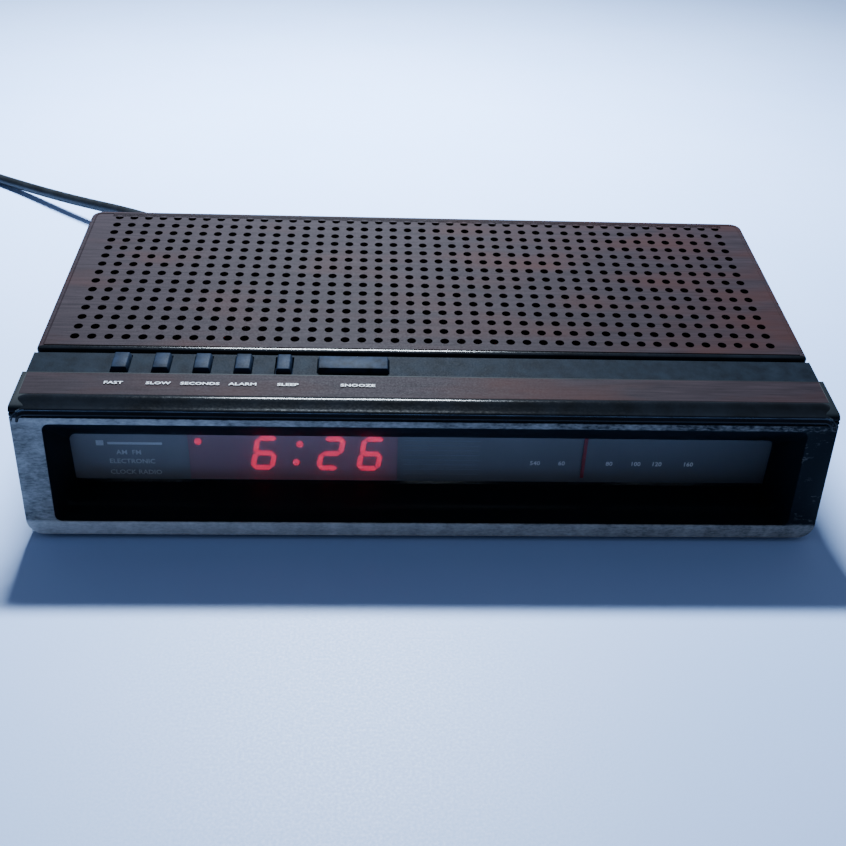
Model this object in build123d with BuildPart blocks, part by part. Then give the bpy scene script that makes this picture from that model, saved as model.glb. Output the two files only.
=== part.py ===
from build123d import *
import os
from math import cos, pi, radians, sin, tan

# ---------------------------------------------------------------------------
# Driving dimensions, in millimetres and degrees.
# The cabinet is a wedge: its top slopes down to the front, its face leans back.
# Origin: middle of the footprint, on the surface the clock radio stands on.
# ---------------------------------------------------------------------------
overall_width = 278.0        # across the front bezel
overall_depth = 142.0
overall_height = 70.0        # at the back edge of the top
foot_thickness = 1.0
plinth_drop = 1.0            # how far the base plate stands below the cabinet
top_slope = 8.5
face_lean = 4.8
bezel_step = 0.9             # bezel stands out from the cabinet sides

cabinet_wall = 2.2
bezel_wall = 2.5
bezel_depth = 19.2           # bezel flange, measured up the slope of the top
bezel_corner_radius = 5.5
lip_radius = 2.2
rib_groove = 0.5
rib_heights = (45.7, 47.2)   # groove centres, measured up the face

sill_height = 5.1            # face below the display opening
opening_height = 38.0        # display opening, measured up the face
opening_side_margin = 10.0
opening_corner_radius = 2.4
recess_depth = 24.5          # from the foot of the face to the window
window_height = 20.6
window_inset = 1.5           # how much narrower the recess is at its back, each side
tunnel_wall = 1.8

strip_front = 7.4
strip_back = 18.8
strip_thickness = 0.3
strip_side_margin = 1.8

deck_back = 31.2             # where the control deck ends and the groove starts
deck_sink = 0.8              # deck surface below the plane of the top
deck_thickness = 2.0
groove_floor = 3.3
cover_front = 32.5           # front edge of the grille cover, up the slope
cover_thickness = 2.4
cover_front_skirt = 3.1
cover_side_gap = 0.3
cover_corner_radius = 3.0
seam = 0.1                   # shut line between the mouldings

hole_diameter = 3.3
hole_pitch = 6.0
hole_side_margin = 11.8
hole_front_margin = 7.5
hole_back_margin = 5.0

button_width = 5.8
button_length = 9.2
button_top_inset = 0.45
button_rise = 1.9            # above the deck
button_travel = 1.5
button_pitch = 14.05
button_centre_s = 25.3
button_first_x = 32.0        # first button centre, inward from the bezel side
button_flange = 1.0
button_clearance = 0.3
sleep_button_narrower = 0.6
snooze_width = 24.7
snooze_length = 7.6
snooze_gap = 11.75           # from the last button's centre to the snooze bar's edge

lens_thickness = 2.0
dial_gap = 2.4               # free room behind the lens, where the pointer runs
dial_thickness = 1.0
filter_width = 76.0
filter_left = 52.5           # from the bezel's left side to the filter
filter_thickness = 1.6
digit_height = 14.8
digit_width = 8.9
digit_slant = 10.5
digit_pitch = 14.8
digit_drop = 1.1             # the digits stand this much below the window's middle
colon_gap = 9.5              # extra room between hours and minutes, for the colon
colon_spacing = 8.0
last_digit_inset = 9.7       # from the filter's right side to the last digit's centre
dot_radius = 1.3
alarm_dot_inset = 3.0        # from the filter's left side to the alarm dot
alarm_dot_rise = 4.8         # above the digits' middle
segment_width = 1.9
segment_thickness = 0.5
led_board_thickness = 1.6

pointer_travel_down = 22.0   # from the rest position to the low end of the scale
pointer_travel_up = 44.0
pointer_width = 1.2
pointer_x = 59.0
rail_radius = 1.0
running_clearance = 0.05

wheel_proud = 2.0            # thumbwheels stand out from the cabinet sides
tuning_wheel_radius = 27.0
tuning_wheel_thickness = 7.0
tuning_wheel_y = 5.0
tuning_wheel_z = 30.0
volume_wheel_radius = 14.0
volume_wheel_thickness = 6.0
volume_wheel_y = -12.0
volume_wheel_z = 27.0
wheel_slot_clearance = 0.8
shaft_radius = 3.0

slide_knob_width = 4.0
slide_knob_height = 5.0
slide_knob_proud = 1.6
function_travel = 4.0        # each way from the middle position
band_travel = 4.0
function_switch_y = 46.0
band_switch_y = 22.0
slide_switch_z = 30.0

board_thickness = 1.6
board_z = 12.0
base_thickness = 2.0

speaker_radius = 33.0
speaker_x = 40.0
speaker_s = 82.0
speaker_depth = 24.0

cord_radius = 3.0
cord_exit_side = 30.0        # from the cabinet's left side to the strain relief
cord_exit_z = 20.0
boot_length = 24.0
boot_radius = 5.5

# ---------------------------------------------------------------------------
# The side profile. The top is a line sloping at top_slope; the back is square
# to it; the face leans back by face_lean from the front foot.
# ---------------------------------------------------------------------------
slope = radians(top_slope)
lean = radians(face_lean)
half_width = overall_width / 2
half_depth = overall_depth / 2
base_z = foot_thickness + plinth_drop
cabinet_half = half_width - bezel_step
inner_half = cabinet_half - cabinet_wall
back_top_y = half_depth - (overall_height - base_z) * tan(slope)


def top_z(y, drop=0.0):
    """Height of the top surface at y, or of a line a distance drop below it."""
    return overall_height - (back_top_y - y) * tan(slope) - drop / cos(slope)


def face_y(z, depth=0.0):
    """Y of the front face at height z, or of a line a distance depth behind it."""
    return -half_depth + (z - base_z) * tan(lean) + depth / cos(lean)


def face_meets_top(depth, drop):
    """Side-profile point where the lines behind the face and below the top cross."""
    run = face_y(0.0, depth) - back_top_y
    rise = overall_height + run * tan(slope) - drop / cos(slope)
    z = rise / (1 - tan(lean) * tan(slope))
    return face_y(z, depth), z


front_top_y, front_top_z = face_meets_top(0.0, 0.0)


def on_top(s, height):
    """Side-profile point s up the slope from the front edge, height above the top."""
    y = front_top_y + s * cos(slope) - height * sin(slope)
    z = front_top_z + s * sin(slope) + height * cos(slope)
    return y, z


top_length = (back_top_y - front_top_y) / cos(slope)
top_plane = Plane(
    origin=(0, front_top_y, front_top_z), x_dir=(1, 0, 0), z_dir=(0, -sin(slope), cos(slope))
)
face_plane = Plane(
    origin=(0, -half_depth, base_z), x_dir=(1, 0, 0), z_dir=(0, -cos(lean), sin(lean))
)
window_y = -half_depth + recess_depth
recess_floor_z = base_z + sill_height


def upright(y):
    """A vertical plane at y that faces the front, with X across and Z up."""
    return Plane(origin=(0, y, 0), x_dir=(1, 0, 0), z_dir=(0, -1, 0))


pieces = []

# ---------------------------------------------------------------------------
# Front bezel: one moulding with the frame, the rolled lip, the ribs and the
# deep recess that narrows to the window.
# ---------------------------------------------------------------------------
opening_half = half_width - opening_side_margin
window_half = opening_half - window_inset
opening_low = sill_height / cos(lean)
opening_middle = opening_low + opening_height / 2
window_middle_z = recess_floor_z + window_height / 2
flange_foot_y = -half_depth + bezel_depth
past = 10.0                  # how far cutting shapes run past what they cut

with BuildPart() as front_bezel:
    with BuildSketch(Plane.YZ):
        Polygon(
            (-half_depth, base_z),
            (front_top_y, front_top_z),
            on_top(bezel_depth, 0),
            (flange_foot_y, base_z),
            align=None,
        )
    extrude(amount=half_width, both=True)
    fillet(front_bezel.edges().filter_by(Axis.Y), radius=bezel_corner_radius)
    lip_edge = front_bezel.edges().filter_by(Axis.X).sort_by(Axis.Z)[-2]
    fillet(lip_edge, radius=lip_radius)
    with BuildSketch(Plane.YZ):
        Polygon(
            (face_y(base_z + bezel_wall, bezel_wall), base_z + bezel_wall),
            face_meets_top(bezel_wall, bezel_wall),
            on_top(bezel_depth + past, -bezel_wall),
            (flange_foot_y + past, base_z + bezel_wall),
            align=None,
        )
    extrude(amount=half_width - bezel_wall, both=True, mode=Mode.SUBTRACT)
    with BuildSketch(face_plane):
        with Locations((0, opening_middle)):
            RectangleRounded(
                2 * (opening_half + tunnel_wall),
                opening_height + 2 * tunnel_wall,
                opening_corner_radius + tunnel_wall,
            )
    with BuildSketch(upright(window_y)):
        with Locations((0, window_middle_z)):
            RectangleRounded(
                2 * (window_half + tunnel_wall),
                window_height + 2 * tunnel_wall,
                opening_corner_radius + tunnel_wall,
            )
    loft(ruled=True)
    with BuildSketch(face_plane):
        with Locations((0, opening_middle)):
            RectangleRounded(2 * opening_half, opening_height, opening_corner_radius)
    with BuildSketch(upright(window_y)):
        with Locations((0, window_middle_z)):
            RectangleRounded(2 * window_half, window_height, opening_corner_radius)
    loft(ruled=True, mode=Mode.SUBTRACT)
    with BuildSketch(face_plane):
        with Locations(*[(0, height) for height in rib_heights]):
            Rectangle(overall_width + past, rib_groove)
    extrude(amount=-rib_groove, mode=Mode.SUBTRACT)
    strip_half = half_width - strip_side_margin
    strip_middle = (strip_front + strip_back) / 2
    with BuildSketch(top_plane):
        with Locations((0, strip_middle)):
            Rectangle(2 * strip_half, strip_back - strip_front)
    extrude(amount=-strip_thickness, mode=Mode.SUBTRACT)
front_bezel.part.label = "front_bezel"
pieces.append(front_bezel)

# Label strip: wood-effect foil laid in a shallow seat on the bezel.
with BuildPart() as label_strip:
    with BuildSketch(top_plane.offset(-strip_thickness)):
        with Locations((0, strip_middle)):
            Rectangle(2 * strip_half - seam, strip_back - strip_front - seam)
    extrude(amount=strip_thickness)
label_strip.part.label = "label_strip"
pieces.append(label_strip)

# ---------------------------------------------------------------------------
# Control deck: the black strip with the button slots, stepped down behind to
# make the groove and the ledge that the grille cover's front edge sits over.
# ---------------------------------------------------------------------------
deck_front = bezel_depth + seam
deck_low = -deck_sink - deck_thickness
ledge_back = cover_front + 4.0
ledge_low = -groove_floor - deck_thickness + 0.2
step_front = deck_back - deck_thickness
button_xs = [-half_width + button_first_x + button_pitch * i for i in range(5)]
snooze_x = button_xs[-1] + snooze_gap + snooze_width / 2
board_drop = 12.0            # top of the deck's bosses to the switch board
deck_boss_xs = (button_xs[0] - 11.0, snooze_x + snooze_width / 2 + 9.0)
deck_boss_radius = 2.4

with BuildPart() as control_deck:
    with BuildSketch(Plane.YZ):
        Polygon(
            on_top(deck_front, -deck_sink),
            on_top(deck_back, -deck_sink),
            on_top(deck_back, -groove_floor),
            on_top(ledge_back, -groove_floor),
            on_top(ledge_back, ledge_low),
            on_top(step_front, ledge_low),
            on_top(step_front, deck_low),
            on_top(deck_front, deck_low),
            align=None,
        )
    extrude(amount=cabinet_half, both=True)
    with BuildSketch(top_plane):
        for x in button_xs:
            with Locations((x, button_centre_s)):
                Rectangle(button_width + 2 * button_clearance, button_length + 2 * button_clearance)
        with Locations((snooze_x, button_centre_s)):
            Rectangle(snooze_width + 2 * button_clearance, snooze_length + 2 * button_clearance)
    extrude(amount=-past, mode=Mode.SUBTRACT)
    with BuildSketch(top_plane.offset(-board_drop)):
        with Locations(*[(x, button_centre_s) for x in deck_boss_xs]):
            Circle(deck_boss_radius)
    extrude(amount=board_drop + deck_low + deck_thickness / 2)
control_deck.part.label = "control_deck"
pieces.append(control_deck)

# Buttons: five keys and the snooze bar. Each slides square to the top, is kept
# in by a flange under the deck, and pushes a tact switch on the board below.
switch_height = 4.0
switch_plunger_gap = 0.1
key_low = -board_drop + switch_height + button_travel + switch_plunger_gap
key_names = ("fast_button", "slow_button", "seconds_button", "alarm_button", "sleep_button")
key_widths = [button_width] * 4 + [button_width - sleep_button_narrower]
keys = [(*row, button_length) for row in zip(key_names, button_xs, key_widths)]
keys.append(("snooze_bar", snooze_x, snooze_width, snooze_length))
flange_top = deck_low - 0.2
flange_length = 5.0

for name, x, width, length in keys:
    with BuildPart() as key:
        with BuildSketch(top_plane.offset(key_low)):
            with Locations((x, button_centre_s)):
                Rectangle(width, length)
        extrude(amount=-deck_sink + 0.6 - key_low)
        with BuildSketch(top_plane.offset(-deck_sink + 0.6)):
            with Locations((x, button_centre_s)):
                Rectangle(width, length)
        with BuildSketch(top_plane.offset(button_rise - deck_sink)):
            with Locations((x, button_centre_s)):
                Rectangle(width - 2 * button_top_inset, length - 2 * button_top_inset)
        loft(ruled=True)
        with BuildSketch(top_plane.offset(key_low)):
            with Locations((x, button_centre_s - 1.0)):
                Rectangle(width + 2 * (button_flange + button_clearance), flange_length)
        extrude(amount=flange_top - key_low)
    key.part.label = name
    pieces.append(key)

# Switch board under the deck, and the tact switches on it.
switch_board_low = -board_drop - board_thickness
board_left = deck_boss_xs[0] - 4.0
board_right = deck_boss_xs[1] + 4.0

with BuildPart() as switch_board:
    with BuildSketch(top_plane.offset(switch_board_low)):
        with Locations(((board_left + board_right) / 2, button_centre_s)):
            Rectangle(board_right - board_left, 10.5)
    extrude(amount=board_thickness)
switch_board.part.label = "switch_board"
pieces.append(switch_board)

with BuildPart() as tact_switches:
    with BuildSketch(top_plane.offset(-board_drop)):
        with Locations(*[(x, button_centre_s) for x in [*button_xs, snooze_x]]):
            Rectangle(6.0, 6.0)
    extrude(amount=switch_height - 0.8)
    with BuildSketch(top_plane.offset(-board_drop + switch_height - 0.8)):
        with Locations(*[(x, button_centre_s) for x in [*button_xs, snooze_x]]):
            Circle(1.7)
    extrude(amount=0.8)
tact_switches.part.label = "tact_switches"
pieces.append(tact_switches)

# ---------------------------------------------------------------------------
# Grille cover: the perforated top. Its front edge turns down over the ledge.
# ---------------------------------------------------------------------------
cover_half = cabinet_half - cover_side_gap
cover_length = top_length - cover_front
rows = int((cover_length - hole_front_margin - hole_back_margin) / hole_pitch + 0.001) + 1
columns = int((2 * cover_half - 2 * hole_side_margin) / hole_pitch + 0.001) + 1
first_row = cover_front + hole_front_margin
grid_middle = first_row + (rows - 1) * hole_pitch / 2
rolled_edge = 2.0

with BuildPart() as grille_cover:
    with BuildSketch(top_plane.offset(-cover_thickness)) as cover_sketch:
        with Locations((0, cover_front + cover_length / 2)):
            Rectangle(2 * cover_half, cover_length)
        fillet(cover_sketch.vertices().sort_by(Axis.Y)[-2:], radius=cover_corner_radius)
        with Locations((0, grid_middle)):
            with GridLocations(hole_pitch, hole_pitch, columns, rows):
                Circle(hole_diameter / 2, mode=Mode.SUBTRACT)
    extrude(amount=cover_thickness)
    with BuildSketch(Plane.YZ):
        Polygon(
            on_top(cover_front, -cover_front_skirt),
            on_top(cover_front, 0),
            on_top(cover_front + rolled_edge, 0),
            on_top(cover_front + rolled_edge, -cover_front_skirt),
            align=None,
        )
    extrude(amount=cover_half, both=True)
    roll = grille_cover.edges().filter_by(Axis.X).sort_by_distance(
        (0, *on_top(cover_front, 0))
    )[0]
    fillet(roll, radius=1.2)
grille_cover.part.label = "grille_cover"
pieces.append(grille_cover)

# ---------------------------------------------------------------------------
# Cabinet shell: both side walls and the back wall, with slots for the wheels
# and switches, a hole for the cord, vents, and bosses for the base screws.
# ---------------------------------------------------------------------------
shell_front_foot = flange_foot_y + seam
boss_radius = 4.0
boss_hole = 1.5
boss_inset = 4.5
boss_height = 18.0
boss_top_z = base_z + base_thickness + boss_height
boss_floor_z = base_z + base_thickness + seam
back_inner_foot = half_depth - cabinet_wall / cos(slope)
boss_ys = (window_y + 12.5, back_inner_foot - 9.0)
boss_points = [(side * (inner_half - boss_inset), y) for side in (-1, 1) for y in boss_ys]
wheel_x = cabinet_half + wheel_proud - tuning_wheel_radius
volume_x = -(cabinet_half + wheel_proud - volume_wheel_radius)
knob_slot = 2 * 0.35
cord_x = -cabinet_half + cord_exit_side
vent_count = 12
vent_pitch = 7.0


def slot_half(radius, wall_distance):
    """Half length of the slot that a wheel needs where it passes through a wall."""
    return (radius**2 - wall_distance**2) ** 0.5 + 1.0


tuning_slot_half = slot_half(tuning_wheel_radius, tuning_wheel_radius - wheel_proud - cabinet_wall)
volume_slot_half = slot_half(volume_wheel_radius, volume_wheel_radius - wheel_proud - cabinet_wall)
back_plane = Plane(
    origin=(0, half_depth, base_z), x_dir=(-1, 0, 0), z_dir=(0, cos(slope), sin(slope))
)
cord_up = (cord_exit_z - base_z) / cos(slope)

with BuildPart() as cabinet_shell:
    with BuildSketch(Plane.YZ):
        Polygon(
            (shell_front_foot, base_z),
            on_top(deck_front, ledge_low),
            on_top(ledge_back + seam, ledge_low),
            on_top(ledge_back + seam, -cover_thickness),
            on_top(top_length, -cover_thickness),
            (half_depth, base_z),
            align=None,
        )
    extrude(amount=cabinet_half, both=True)
    square_to_top = Axis((0, 0, 0), (0, -sin(slope), cos(slope)))
    fillet(
        cabinet_shell.edges().filter_by(square_to_top).sort_by(Axis.Y)[-2:],
        radius=cover_corner_radius,
    )
    with BuildSketch(Plane.YZ):
        Polygon(
            (-half_depth, base_z - past),
            (-half_depth, overall_height + past),
            on_top(top_length - cabinet_wall, past),
            on_top(top_length - cabinet_wall, -overall_height - past),
            align=None,
        )
    extrude(amount=inner_half, both=True, mode=Mode.SUBTRACT)
    with BuildSketch(Plane.XY.offset(boss_floor_z)):
        with Locations(*boss_points):
            Circle(boss_radius)
        for x, y in boss_points:
            with Locations((x + boss_radius / 2 * (1 if x > 0 else -1), y)):
                Rectangle(boss_radius + 1.0, 2.0)
    extrude(amount=boss_height)
    with BuildSketch(Plane.XY.offset(boss_floor_z)):
        with Locations(*boss_points):
            Circle(boss_hole)
    extrude(amount=boss_height - 4.0, mode=Mode.SUBTRACT)
    with BuildSketch(Plane.YZ.offset(cabinet_half + past)):
        with Locations((tuning_wheel_y, tuning_wheel_z + tuning_wheel_thickness / 2)):
            Rectangle(2 * tuning_slot_half, tuning_wheel_thickness + 2 * wheel_slot_clearance)
        with Locations((function_switch_y, slide_switch_z)):
            Rectangle(
                slide_knob_width + 2 * function_travel + knob_slot, slide_knob_height + knob_slot
            )
    extrude(amount=-(past + cabinet_wall + 1.0), mode=Mode.SUBTRACT)
    with BuildSketch(Plane.YZ.offset(-cabinet_half - past)):
        with Locations((volume_wheel_y, volume_wheel_z + volume_wheel_thickness / 2)):
            Rectangle(2 * volume_slot_half, volume_wheel_thickness + 2 * wheel_slot_clearance)
        with Locations((band_switch_y + band_travel / 2, slide_switch_z)):
            Rectangle(slide_knob_width + band_travel + knob_slot, slide_knob_height + knob_slot)
    extrude(amount=past + cabinet_wall + 1.0, mode=Mode.SUBTRACT)
    with BuildSketch(back_plane.offset(past)):
        with Locations((-cord_x, cord_up)):
            Circle(boot_radius - 1.0)
        with Locations((0, 34.0)):
            with GridLocations(vent_pitch, 1, vent_count, 1):
                SlotOverall(22.0, 2.4, rotation=90)
    extrude(amount=-(past + cabinet_wall + 1.0), mode=Mode.SUBTRACT)
cabinet_shell.part.label = "cabinet_shell"
pieces.append(cabinet_shell)

# ---------------------------------------------------------------------------
# Base plate: the floor, with a plinth below, vents, pillars for the circuit
# boards and clearance for the case screws.
# ---------------------------------------------------------------------------
base_front = flange_foot_y + 3 * seam
base_back = back_inner_foot - 0.6
base_half = inner_half - 0.4
plinth_half = base_half - 17.0
plinth_front = -half_depth + 4.5
plinth_back = half_depth - 8.0
screw_head_radius = 3.0
screw_head_height = 1.2

main_left = -34.0
main_right = inner_half - 2.0
main_front = window_y + 22.0
main_back = back_inner_foot - 16.0
clock_left = -inner_half + 2.0
clock_right = main_left - 8.0
clock_back = 14.0
boards = (
    ("main_board", main_left, main_right, main_front, main_back),
    ("clock_board", clock_left, clock_right, main_front, clock_back),
)
pillar_radius = 2.8
board_screw_hole = 1.3


def board_corners(left, right, front, back):
    """The four screw places of a circuit board."""
    return [(x, y) for x in (left + 26.0, right - 26.0) for y in (front + 5.0, back - 5.0)]


pillar_points = [point for name, *edges in boards for point in board_corners(*edges)]

with BuildPart() as base_plate:
    with BuildSketch(Plane.XY.offset(base_z)):
        with Locations((0, (base_front + base_back) / 2)):
            Rectangle(2 * base_half, base_back - base_front)
    extrude(amount=base_thickness)
    with BuildSketch(Plane.XY.offset(foot_thickness)):
        with Locations((0, (plinth_front + plinth_back) / 2)):
            RectangleRounded(2 * plinth_half, plinth_back - plinth_front, 4.0)
    extrude(amount=plinth_drop)
    with BuildSketch(Plane.XY.offset(base_z + base_thickness / 2)):
        with Locations(*pillar_points):
            Circle(pillar_radius)
    extrude(amount=board_z - base_z - base_thickness / 2)
    with BuildSketch(Plane.XY.offset(board_z)):
        with Locations(*pillar_points):
            Circle(board_screw_hole)
    extrude(amount=-7.0, mode=Mode.SUBTRACT)
    with BuildSketch(Plane.XY.offset(base_z)):
        with Locations(*boss_points):
            Circle(boss_hole + 0.2)
        with Locations((0, 30.0)):
            with GridLocations(8.0, 30.0, 13, 1):
                SlotOverall(30.0, 3.0, rotation=90)
    extrude(amount=past, both=True, mode=Mode.SUBTRACT)
    with BuildSketch(Plane.XY.offset(base_z)):
        with Locations(*boss_points):
            Circle(screw_head_radius + 0.3)
    extrude(amount=screw_head_height + 0.1, mode=Mode.SUBTRACT)
base_plate.part.label = "base_plate"
pieces.append(base_plate)

with BuildPart() as case_screws:
    with BuildSketch(Plane.XY.offset(base_z)):
        with Locations(*boss_points):
            Circle(screw_head_radius)
    extrude(amount=screw_head_height)
    with BuildSketch(Plane.XY.offset(base_z + screw_head_height)):
        with Locations(*boss_points):
            Circle(boss_hole - 0.05)
    extrude(amount=10.0)
    with BuildSketch(Plane.XY.offset(base_z)):
        with Locations(*boss_points):
            Rectangle(4.0, 0.7)
            Rectangle(0.7, 4.0)
    extrude(amount=0.6, mode=Mode.SUBTRACT)
case_screws.part.label = "case_screws"
pieces.append(case_screws)

# Feet: four round rubber pads under the plinth's corners.
foot_radius = 6.5
foot_xs = (-plinth_half + 12.0, plinth_half - 12.0)
foot_ys = (plinth_front + 12.0, plinth_back - 12.0)
for side, x in zip(("left", "right"), foot_xs):
    for end, y in zip(("front", "rear"), foot_ys):
        with BuildPart() as foot:
            with BuildSketch(Plane.XY):
                with Locations((x, y)):
                    Circle(foot_radius)
            extrude(amount=foot_thickness)
        foot.part.label = f"foot_{end}_{side}"
        pieces.append(foot)

# ---------------------------------------------------------------------------
# Window, dial and display, one behind the other.
# ---------------------------------------------------------------------------
lens_half = window_half + tunnel_wall
lens_low = recess_floor_z - tunnel_wall
lens_high = recess_floor_z + window_height + tunnel_wall
lens_middle_z = (lens_low + lens_high) / 2
lens_back_y = window_y + lens_thickness
dial_y = lens_back_y + dial_gap
filter_x = -half_width + filter_left + filter_width / 2
display_opening_height = window_height - 1.0

with BuildPart() as window_lens:
    with BuildSketch(upright(lens_back_y)):
        with Locations((0, lens_middle_z)):
            Rectangle(2 * lens_half, lens_high - lens_low)
    extrude(amount=lens_thickness)
window_lens.part.label = "window_lens"
pieces.append(window_lens)

with BuildPart() as dial_plate:
    with BuildSketch(upright(dial_y + dial_thickness)):
        with Locations((0, lens_middle_z)):
            Rectangle(2 * lens_half, lens_high - lens_low)
        with Locations((filter_x, window_middle_z)):
            Rectangle(filter_width - 2.0, display_opening_height, mode=Mode.SUBTRACT)
    extrude(amount=dial_thickness)
dial_plate.part.label = "dial_plate"
pieces.append(dial_plate)

with BuildPart() as display_filter:
    with BuildSketch(upright(dial_y)):
        with Locations((filter_x, window_middle_z)):
            Rectangle(filter_width, window_height + 1.0)
    extrude(amount=filter_thickness)
display_filter.part.label = "display_filter"
pieces.append(display_filter)

led_front_y = dial_y + dial_thickness + 0.2
housing_depth = 5.0
segment_y = led_front_y + segment_thickness
housing_back_y = segment_y + housing_depth
led_board_back_y = housing_back_y + led_board_thickness
housing_half = filter_width / 2 - 1.0
digit_middle_z = window_middle_z - digit_drop

with BuildPart() as led_housing:
    with BuildSketch(upright(housing_back_y)):
        with Locations((filter_x, window_middle_z)):
            Rectangle(2 * housing_half, display_opening_height - 1.0)
    extrude(amount=housing_depth)
led_housing.part.label = "led_housing"
pieces.append(led_housing)

with BuildPart() as led_board:
    with BuildSketch(upright(led_board_back_y)):
        with Locations((filter_x, lens_middle_z)):
            Rectangle(filter_width + 4.0, lens_high - lens_low)
    extrude(amount=led_board_thickness)
led_board.part.label = "led_board"
pieces.append(led_board)

# Lit segments: the bars of 6:26 and the alarm dot. Letters name the usual
# seven bars: a top, b and c right, d bottom, e and f left, g middle.
digit_bars = {"2": "abged", "6": "afgedc"}
last_digit_x = filter_x + filter_width / 2 - last_digit_inset
tens_x = last_digit_x - digit_pitch
hours_x = tens_x - digit_pitch - colon_gap
figures = ((hours_x, "6"), (tens_x, "2"), (last_digit_x, "6"))
half_w = (digit_width - segment_width) / 2
half_h = (digit_height - segment_width) / 2
bar_gap = 0.2
long_bar = half_h - 2 * bar_gap
flat_bar = 2 * half_w - 2 * bar_gap
bar_half = segment_width / 2
bar_places = {
    "a": (0, half_h, flat_bar, 0),
    "g": (0, 0, flat_bar, 0),
    "d": (0, -half_h, flat_bar, 0),
    "b": (half_w, half_h / 2, long_bar, 90),
    "c": (half_w, -half_h / 2, long_bar, 90),
    "e": (-half_w, -half_h / 2, long_bar, 90),
    "f": (-half_w, half_h / 2, long_bar, 90),
}
digit_lean = tan(radians(digit_slant))
colon_x = (hours_x + tens_x) / 2

with BuildPart() as lit_segments:
    with BuildSketch(upright(segment_y)):
        for figure_x, figure in figures:
            for bar in digit_bars[figure]:
                across, up, bar_length, turn = bar_places[bar]
                tilt = turn - digit_slant if turn else 0
                centre = (figure_x + across + up * digit_lean, digit_middle_z + up)
                with Locations(Location((*centre, 0), (0, 0, tilt))):
                    Polygon(
                        (-bar_length / 2, 0),
                        (bar_half - bar_length / 2, bar_half),
                        (bar_length / 2 - bar_half, bar_half),
                        (bar_length / 2, 0),
                        (bar_length / 2 - bar_half, -bar_half),
                        (bar_half - bar_length / 2, -bar_half),
                        align=None,
                    )
        for up in (colon_spacing / 2, -colon_spacing / 2):
            with Locations((colon_x + up * digit_lean, digit_middle_z + up)):
                Circle(dot_radius)
        alarm_dot_x = filter_x - filter_width / 2 + alarm_dot_inset
        with Locations((alarm_dot_x, digit_middle_z + alarm_dot_rise)):
            Circle(dot_radius)
    extrude(amount=segment_thickness)
lit_segments.part.label = "lit_segments"
pieces.append(lit_segments)

# Pointer: a red blade on a small carriage that slides along a steel rail.
rail_y = dial_y + dial_thickness + 3.0
rail_z = lens_high + 2.6
rail_low_x = pointer_x - pointer_travel_down - 8.0
rail_high_x = pointer_x + pointer_travel_up + 8.0
blade_y = lens_back_y + dial_gap / 2
blade_thickness = 0.6
carriage_half = 4.0

with BuildPart() as pointer_rail:
    with BuildSketch(Plane.YZ.offset(rail_low_x)):
        with Locations((rail_y, rail_z)):
            Circle(rail_radius)
    extrude(amount=rail_high_x - rail_low_x)
pointer_rail.part.label = "pointer_rail"
pieces.append(pointer_rail)

with BuildPart() as rail_brackets:
    for x, direction in ((rail_low_x, -1), (rail_high_x, 1)):
        with BuildSketch(Plane.YZ.offset(x)):
            with Locations((rail_y, (rail_z + lens_middle_z) / 2 + 2.0)):
                Rectangle(4.0, rail_z - lens_middle_z)
        extrude(amount=1.5 * direction)
rail_brackets.part.label = "rail_brackets"
pieces.append(rail_brackets)

arm_top_z = rail_z + 3.3
with BuildPart() as dial_pointer:
    with BuildSketch(Plane.YZ.offset(pointer_x)):
        Polygon(
            (blade_y, recess_floor_z + 1.0),
            (blade_y, arm_top_z),
            (rail_y + 2.0, arm_top_z),
            (rail_y + 2.0, rail_z + 2.1),
            (blade_y + blade_thickness, rail_z + 2.1),
            (blade_y + blade_thickness, recess_floor_z + 1.0),
            align=None,
        )
    extrude(amount=pointer_width / 2, both=True)
    with BuildSketch(Plane.YZ.offset(pointer_x)):
        with Locations((rail_y, rail_z)):
            Rectangle(4.6, 4.2)
            Circle(rail_radius + running_clearance, mode=Mode.SUBTRACT)
    extrude(amount=carriage_half, both=True)
dial_pointer.part.label = "dial_pointer"
pieces.append(dial_pointer)

# ---------------------------------------------------------------------------
# Tuner: a knurled thumbwheel on the capacitor's shaft. Its hub drum draws the
# dial cord, so half a turn takes the pointer over its whole travel.
# ---------------------------------------------------------------------------
drum_room = tuning_wheel_radius - wheel_proud - cabinet_wall - 0.5
drum_radius = min((pointer_travel_down + pointer_travel_up) / pi, drum_room)
capacitor_half = 10.0
capacitor_top = tuning_wheel_z - 3.0
capacitor_foot = board_z + board_thickness
shaft_sink = 5.0
knurl_count = 72
knurl_depth = 0.5

with BuildPart() as tuning_wheel:
    with BuildSketch(Plane.XY.offset(tuning_wheel_z)):
        with Locations((wheel_x, tuning_wheel_y)):
            Circle(tuning_wheel_radius)
            with PolarLocations(tuning_wheel_radius, knurl_count):
                Rectangle(2 * knurl_depth, 1.0, mode=Mode.SUBTRACT)
            Circle(shaft_radius, mode=Mode.SUBTRACT)
    extrude(amount=tuning_wheel_thickness)
    with BuildSketch(Plane.XY.offset(tuning_wheel_z + tuning_wheel_thickness)):
        with Locations((wheel_x, tuning_wheel_y)):
            Circle(drum_radius)
            Circle(shaft_radius, mode=Mode.SUBTRACT)
    extrude(amount=2.5)
tuning_wheel.part.label = "tuning_wheel"
pieces.append(tuning_wheel)

with BuildPart() as tuning_shaft:
    with BuildSketch(Plane.XY.offset(capacitor_top - shaft_sink + 0.5)):
        with Locations((wheel_x, tuning_wheel_y)):
            Circle(shaft_radius)
    extrude(amount=tuning_wheel_z + tuning_wheel_thickness + 2.5 - capacitor_top + shaft_sink - 0.5)
tuning_shaft.part.label = "tuning_shaft"
pieces.append(tuning_shaft)

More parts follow.
